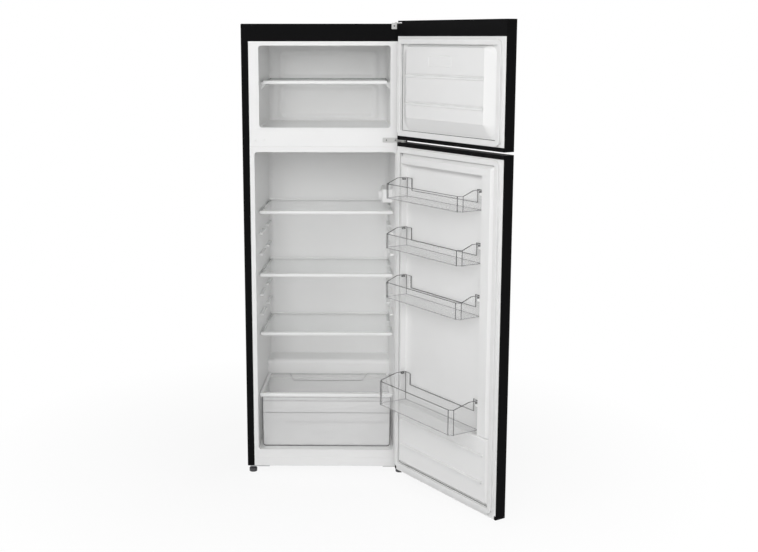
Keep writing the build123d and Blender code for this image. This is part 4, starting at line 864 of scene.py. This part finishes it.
class FRIDGE_OT_door_shells(FridgeOperator, Operator):
    """Dress the doors' skins, end caps, bushes and liners"""

    bl_idname = "fridge.door_shells"
    bl_label = "Door shells"

    GROOVE = 0.039
    GROOVE_W = 0.007
    GROOVE_CUT = 0.003
    RIB = 0.0365
    LIP = 0.0058
    LIP_SINK = 0.0018
    LABEL_SIZE = (0.126, 0.036)
    LABEL_PLACE = (0.265, 1.5615)
    LABEL_CORNER = 0.008
    RIM_HALF = 0.0022
    RIM_RISE = 0.0012

    def execute(self, context):
        edges = context.scene.fridge_edges
        for door in DOORS:
            Dresser.coat(door + "_foam", door + "_bushes")
            Dresser.soften(door + "_skin", edges.sheet / 2)
            Dresser.soften(door + "_top_cap", edges.sheet)
            Dresser.soften(door + "_bottom_cap", edges.sheet)
            Dresser.soften(door + "_liner", edges.trim, 3)
        self.blank_label()
        self.lips("freezer_door", self.GROOVE, -self.GROOVE_W, self.GROOVE_CUT - self.LIP_SINK)
        self.lips("fridge_door", self.RIB, 0.0, -self.LIP_SINK)
        return {"FINISHED"}

    def lips(self, door, level, drop, lift):
        """Rounds the lines pressed across a door's liner: a bead along each line at a level."""
        axes = door_frame(door)
        flat = [point for point in local_points(door + "_liner", axes) if abs(point.z - level) < MERGE]
        middle = (min(point.y for point in flat) + max(point.y for point in flat)) / 2
        corners = []
        for line in ([p for p in flat if p.y < middle], [p for p in flat if p.y > middle]):
            height = (min(p.y for p in line) + max(p.y for p in line)) / 2 + drop
            for reach in (min(p.x for p in line), max(p.x for p in line)):
                corners.append((reach, height, level + lift))
        seed = bpy.data.meshes.new(door + "_lines")
        seed.from_pydata(corners, [(0, 1), (2, 3)], [])
        graph = bead_graph("Liner lips", Dresser.finishes["white_liner"])
        grow(door + "_liner_lips", seed, graph, {"Radius": self.LIP}, door, axes)

    def blank_label(self):
        """The raised rim of a label field on the freezer door, left blank."""
        axes = door_frame("freezer_door")
        high = local_box("freezer_door_liner", axes)[1]
        seed = low_bead("rim", self.RIM_HALF, self.RIM_RISE)
        graph = sweep_graph("Label rim", Dresser.finishes["white_liner"])
        sizes = {"Width": self.LABEL_SIZE[0], "Height": self.LABEL_SIZE[1], "Corner": self.LABEL_CORNER}
        place = axes @ Matrix.Translation((*self.LABEL_PLACE, high.z))
        grow("freezer_label_rim", seed, graph, sizes, "freezer_door", place)


class FRIDGE_OT_seals(FridgeOperator, Operator):
    """Sweep the bellows of each door's magnetic seal"""

    bl_idname = "fridge.seals"
    bl_label = "Door seals"

    WIDTH = 0.019
    FOOT = 0.012
    WAIST = 0.010
    FOOT_H = 0.0015
    HEAD_H = 0.0052
    LIP = 0.0014
    # Where the dark bead of painted shadow beside the seal runs, and its size.
    SHADE_LINE_IN = 0.0195
    SHADE_LINE_UP = 0.0008
    SHADE_LINE_RADIUS = 0.0009

    def execute(self, context):
        edges = context.scene.fridge_edges
        graph = sweep_graph("Seal sweep", Dresser.finishes["seal"])
        for door in DOORS:
            node = door + "_gasket"
            axes = door_frame(door)
            low, high = local_box(node, axes)
            middle = (low + high) / 2
            seed = self.bellows(node, high.z - low.z)
            sizes = {
                "Width": high.x - low.x - self.WIDTH,
                "Height": high.y - low.y - self.WIDTH,
                "Corner": edges.seal_corner,
            }
            place = axes @ Matrix.Translation((middle.x, middle.y, low.z))
            piece = grow(node + "_bellows", seed, graph, sizes, door, place)
            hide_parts(node)
            # Painted shadow: a dark line in the gap between the seal and the liner.
            self.seal_shade_line(node, axes, low, high)
        return {"FINISHED"}

    def seal_shade_line(self, node, axes, low, high):
        """A dark bead of painted shadow between the seal and the liner, at the hinge side and along the bottom,
        where the gap is in shade.
        """
        left, right = low.x + self.SHADE_LINE_IN, high.x - self.SHADE_LINE_IN
        bottom, top = low.y + self.SHADE_LINE_IN, high.y - self.SHADE_LINE_IN
        height = low.z + self.SHADE_LINE_UP
        seed = bpy.data.meshes.new(node + "_fold")
        corners = [(left, top, height), (left, bottom, height), (right, bottom, height)]
        seed.from_pydata(corners, [(0, 1), (1, 2)], [])
        # The painted shadow takes the grommets' dark rubber colour.
        graph = bead_graph("Seal shade line", Dresser.finishes["dark_rubber"])
        grow(node + "_fold", seed, graph, {"Radius": self.SHADE_LINE_RADIUS}, BODY_OF[node], axes)

    def bellows(self, name, height):
        """The seal's outline: a foot in the liner's groove, a narrow waist and the magnet's broad head."""
        head, foot, waist = self.WIDTH / 2, self.FOOT / 2, self.WAIST / 2
        neck = height - self.HEAD_H
        right = [
            (foot, 0.0),
            (foot, self.FOOT_H),
            (waist, (self.FOOT_H + neck) / 2),
            (waist, neck),
            (head - self.LIP, neck),
            (head, neck + self.LIP),
            (head, height - self.LIP),
            (head - self.LIP, height),
        ]
        return outline_seed(name, right + [(-x, z) for x, z in reversed(right)])


class FRIDGE_OT_bins(FridgeOperator, Operator):
    """Dress the clear door bins"""

    bl_idname = "fridge.bins"
    bl_label = "Door bins"

    def execute(self, context):
        edges = context.scene.fridge_edges
        for node in BINS:
            Dresser.soften(node, edges.clear)
            # Painted shade: dark beads along each bin's edges.
            Dresser.trace_edges(node, edges.line, SHARP_ANGLE)
        return {"FINISHED"}


class FRIDGE_OT_hinges(FridgeOperator, Operator):
    """Dress the hinges and the foot bracket, and set the screws"""

    bl_idname = "fridge.hinges"
    bl_label = "Hinges and screws"

    HEAD = (
        (0.0040, 0.0, False),
        (0.0040, 0.0006, False),
        (0.0030, 0.0008, True),
        (0.0030, 0.0019, True),
        (0.0026, 0.0022, True),
        (0.0014, 0.0022, False),
    )
    # A thin dark cross of painted shade, just above the head's top, where the recess is in shade.
    RECESS_SHADE = (
        (0.0029, 0.0019, True),
        (0.0029, 0.00225, True),
    )
    SIDES = 24

    def execute(self, context):
        edges = context.scene.fridge_edges
        for node in ("upper_hinge", "middle_hinge", "lower_hinge", "left_foot_bracket"):
            Dresser.soften(node, edges.sheet)
        sample = turned_sample("screw_head", self.HEAD, self.SIDES, self.hexagon)
        graph = scatter_graph("Screws", sample, Dresser.finishes["hinge_steel"])
        places = screw_places()
        seed = point_seed("screw_places", places)
        piece = grow("hinge_screw_heads", seed, graph, {"Size": 1.0}, "cabinet")
        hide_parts("hinge_screws")
        # Painted shade: a dark cross on each head for the shade in its driver recess.
        sample = turned_sample("screw_recess", self.RECESS_SHADE, self.SIDES, self.cross)
        graph = scatter_graph("Recess shades", sample, Dresser.finishes["recess"])
        seed = point_seed("recess_places", places)
        grow("hinge_screw_recesses", seed, graph, {"Size": 1.0}, "cabinet")
        return {"FINISHED"}

    @staticmethod
    def cross(angle):
        """The outline of the painted shade in a driver recess: four arms."""
        return 0.6 + 0.4 * math.cos(2 * angle) ** 4

    @staticmethod
    def hexagon(angle):
        """A hexagon's reach over its half width."""
        sixth = math.pi / 3
        return 1 / math.cos(angle % sixth - sixth / 2)


class FRIDGE_OT_controls(FridgeOperator, Operator):
    """Dress the lamp and thermostat housing"""

    bl_idname = "fridge.controls"
    bl_label = "Lamp and thermostat"

    DOT = (
        (0.0011, 0.0, False),
        (0.0010, 0.0003, False),
        (0.0006, 0.0004, False),
    )
    SIDES = 16
    DIAL_SWEEP = math.radians(240)
    DIAL_GAP = 0.0035
    SMALLEST = 0.6

    def execute(self, context):
        edges = context.scene.fridge_edges
        Dresser.coat("lamp_board")
        Dresser.soften("control_housing", edges.trim)
        Dresser.soften("lamp_lens", edges.sheet)
        Dresser.soften("thermostat_knob", edges.sheet)
        self.dial(edges.dial_marks)
        return {"FINISHED"}

    def dial(self, count):
        """Dots round the knob that grow from mild to cold."""
        low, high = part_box("thermostat_knob")
        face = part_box("control_housing")[0][0]
        reach = (high[2] - low[2]) / 2 + self.DIAL_GAP
        middle = Vector((face, (low[1] + high[1]) / 2, (low[2] + high[2]) / 2))
        places = []
        for mark in range(count):
            angle = self.DIAL_SWEEP * (mark / (count - 1) - 0.5)
            across = Vector((0, reach * math.sin(angle), reach * math.cos(angle)))
            size = self.SMALLEST + (1 - self.SMALLEST) * mark / (count - 1)
            places.append((middle + across, Vector((-size, 0, 0))))
        sample = turned_sample("dial_dot", self.DOT, self.SIDES)
        graph = scatter_graph("Dial", sample, Dresser.finishes["foot_plastic"])
        seed = point_seed("dial_places", places)
        grow("thermostat_marks", seed, graph, {"Size": 1.0}, "cabinet")


class FRIDGE_OT_feet(FridgeOperator, Operator):
    """Dress the feet"""

    bl_idname = "fridge.feet"
    bl_label = "Feet"

    def execute(self, context):
        edges = context.scene.fridge_edges
        for node in ("front_foot_left", "front_foot_right", "rear_feet"):
            Dresser.soften(node, edges.sheet)
        return {"FINISHED"}


class FRIDGE_OT_machine(FridgeOperator, Operator):
    """Dress the compressor, its pipes and the condenser at the back"""

    bl_idname = "fridge.machine"
    bl_label = "Machine compartment"

    def execute(self, context):
        edges = context.scene.fridge_edges
        Dresser.coat("compressor", "compressor_grommets", "filter_drier", "refrigerant_pipes")
        Dresser.coat("condenser_tube", "condenser_wires")
        for node in ("compressor_rail", "terminal_box", "drip_tray", "condenser_brackets"):
            Dresser.soften(node, edges.sheet)
        return {"FINISHED"}


class FRIDGE_OT_studio(FridgeOperator, Operator):
    """Set the floor, the lamps, the white surroundings and the camera"""

    bl_idname = "fridge.studio"
    bl_label = "Studio"

    FLOOR_SIZE = 40.0
    KEY_PLACE = (-0.4, -5.0, 2.6)
    LEFT_PLACE = (-2.8, -3.2, 3.8)
    RIGHT_PLACE = (2.0, -4.6, 2.0)
    BACK_PLACE = (1.6, 4.6, 2.4)
    AIM = (0.05, 0.0, 0.85)
    KEY_SIZE = 2.8
    SIDE_SIZE = 2.2
    SHADOW_SHARE = 0.11
    SHADOW_NEAR = 0.5
    SHADOW_FAR = 1.5
    BOUNCES = 24

    def execute(self, context):
        studio = context.scene.fridge_studio
        self.floor(studio)
        self.lamp("key_lamp", self.KEY_PLACE, self.KEY_SIZE, studio.key_power)
        self.lamp("left_lamp", self.LEFT_PLACE, self.SIDE_SIZE, studio.left_power)
        self.lamp("right_lamp", self.RIGHT_PLACE, self.SIDE_SIZE, studio.right_power)
        self.lamp("back_lamp", self.BACK_PLACE, self.SIDE_SIZE, studio.back_power)
        self.surroundings(context, studio)
        self.camera(context, studio)
        context.scene.view_settings.view_transform = "Standard"
        context.scene.cycles.transparent_max_bounces = self.BOUNCES
        context.scene.cycles.max_bounces = self.BOUNCES
        context.scene.cycles.diffuse_bounces = self.BOUNCES // 2
        return {"FINISHED"}

    def seen(self, graph):
        """1 for what the camera sees, straight or in a mirror or through glass."""
        path = graph.add("ShaderNodeLightPath")
        straight = path.out("Is Camera Ray")
        mirrored = path.out("Is Glossy Ray")
        through = path.out("Is Transmission Ray")
        return straight.math("MAXIMUM", straight.math("MAXIMUM", straight, mirrored), through)

    def floor(self, studio):
        mesh = bpy.data.meshes.new("floor")
        half = self.FLOOR_SIZE / 2
        corners = [(-half, -half, 0), (half, -half, 0), (half, half, 0), (-half, half, 0)]
        mesh.from_pydata(corners, [], [(0, 1, 2, 3)])
        finish = Finish("pale_floor")
        finish.set(base_color=(*studio.floor, 1.0), roughness=0.9, specular_ior_level=0.0)
        glow = finish.add("ShaderNodeEmission", inputs={"Color": (1, 1, 1, 1), "Strength": 1.0})
        reach = finish.add("ShaderNodeVectorMath", {"operation": "LENGTH"}, {0: finish.place}).out("Value")
        sockets = {0: reach, 1: self.SHADOW_NEAR, 2: self.SHADOW_FAR, 3: self.SHADOW_SHARE, 4: 0.0}
        shadow = finish.add("ShaderNodeMapRange", inputs=sockets)
        share = self.seen(finish) * (1 - shadow)
        lit = Value(finish, finish.shader.outputs[0])
        mixed = finish.add("ShaderNodeMixShader", inputs={0: share, 1: lit, 2: glow})
        finish.feed(finish.output.inputs[0], mixed)
        mesh.materials.append(finish.material)
        piece = bpy.data.objects.new("floor", mesh)
        bpy.context.scene.collection.objects.link(piece)

    def lamp(self, name, place, size, power):
        lamp = bpy.data.lights.new(name, "AREA")
        lamp.shape = "DISK"
        lamp.size = size
        lamp.energy = power
        holder = bpy.data.objects.new(name, lamp)
        holder.location = place
        holder.rotation_euler = (Vector(self.AIM) - Vector(place)).to_track_quat("-Z", "Y").to_euler()
        holder.visible_glossy = False
        bpy.context.scene.collection.objects.link(holder)

    def surroundings(self, context, studio):
        world = bpy.data.worlds.new("white_studio")
        world.use_nodes = True
        graph = Graph(world.node_tree)
        graph.tree.nodes.clear()
        light = graph.add("ShaderNodeBackground", inputs={"Color": (1, 1, 1, 1), "Strength": studio.sky})
        white = graph.add("ShaderNodeBackground", inputs={"Color": (1, 1, 1, 1), "Strength": 1.0})
        mixed = graph.add("ShaderNodeMixShader", inputs={0: self.seen(graph), 1: light, 2: white})
        graph.add("ShaderNodeOutputWorld", inputs={"Surface": mixed})
        context.scene.world = world

    def camera(self, context, studio):
        lens = bpy.data.cameras.new("camera")
        lens.sensor_fit = "HORIZONTAL"
        lens.sensor_width = SENSOR_W
        lens.lens = studio.focal_px * SENSOR_W / IMAGE_W
        lens.shift_x, lens.shift_y = studio.shift
        holder = bpy.data.objects.new("camera", lens)
        holder.location = studio.camera
        holder.rotation_euler = (math.pi / 2 - studio.tilt, 0, studio.turn)
        context.scene.collection.objects.link(holder)
        context.scene.camera = holder


OPERATORS = (
    FRIDGE_OT_finishes,
    FRIDGE_OT_case,
    FRIDGE_OT_liners,
    FRIDGE_OT_shelves,
    FRIDGE_OT_crisper,
    FRIDGE_OT_door_shells,
    FRIDGE_OT_seals,
    FRIDGE_OT_bins,
    FRIDGE_OT_hinges,
    FRIDGE_OT_controls,
    FRIDGE_OT_feet,
    FRIDGE_OT_machine,
    FRIDGE_OT_studio,
)


class FRIDGE_PT_pieces(Panel):
    """Lists the refrigerator's settings and pieces"""

    bl_idname = "FRIDGE_PT_pieces"
    bl_label = "Refrigerator"
    bl_space_type = "VIEW_3D"
    bl_region_type = "UI"
    bl_category = "Refrigerator"

    def draw(self, context):
        for name in SETTINGS:
            box = self.layout.box()
            settings = getattr(context.scene, name)
            for key in settings.__annotations__:
                box.prop(settings, key)
        for operator in OPERATORS:
            self.layout.operator(operator.bl_idname)


SETTINGS = {
    "fridge_finish": FinishSettings,
    "fridge_edges": EdgeSettings,
    "fridge_studio": StudioSettings,
}
CLASSES = (*SETTINGS.values(), *OPERATORS, FRIDGE_PT_pieces)


def register():
    for entry in CLASSES:
        bpy.utils.register_class(entry)
    for name, settings in SETTINGS.items():
        setattr(bpy.types.Scene, name, PointerProperty(type=settings))


def unregister():
    for name in SETTINGS:
        delattr(bpy.types.Scene, name)
    for entry in reversed(CLASSES):
        bpy.utils.unregister_class(entry)


def main():
    """Dresses the whole refrigerator."""
    register()
    for operator in OPERATORS:
        group, name = operator.bl_idname.split(".")
        getattr(getattr(bpy.ops, group), name)()


if __name__ == "__main__":
    main()
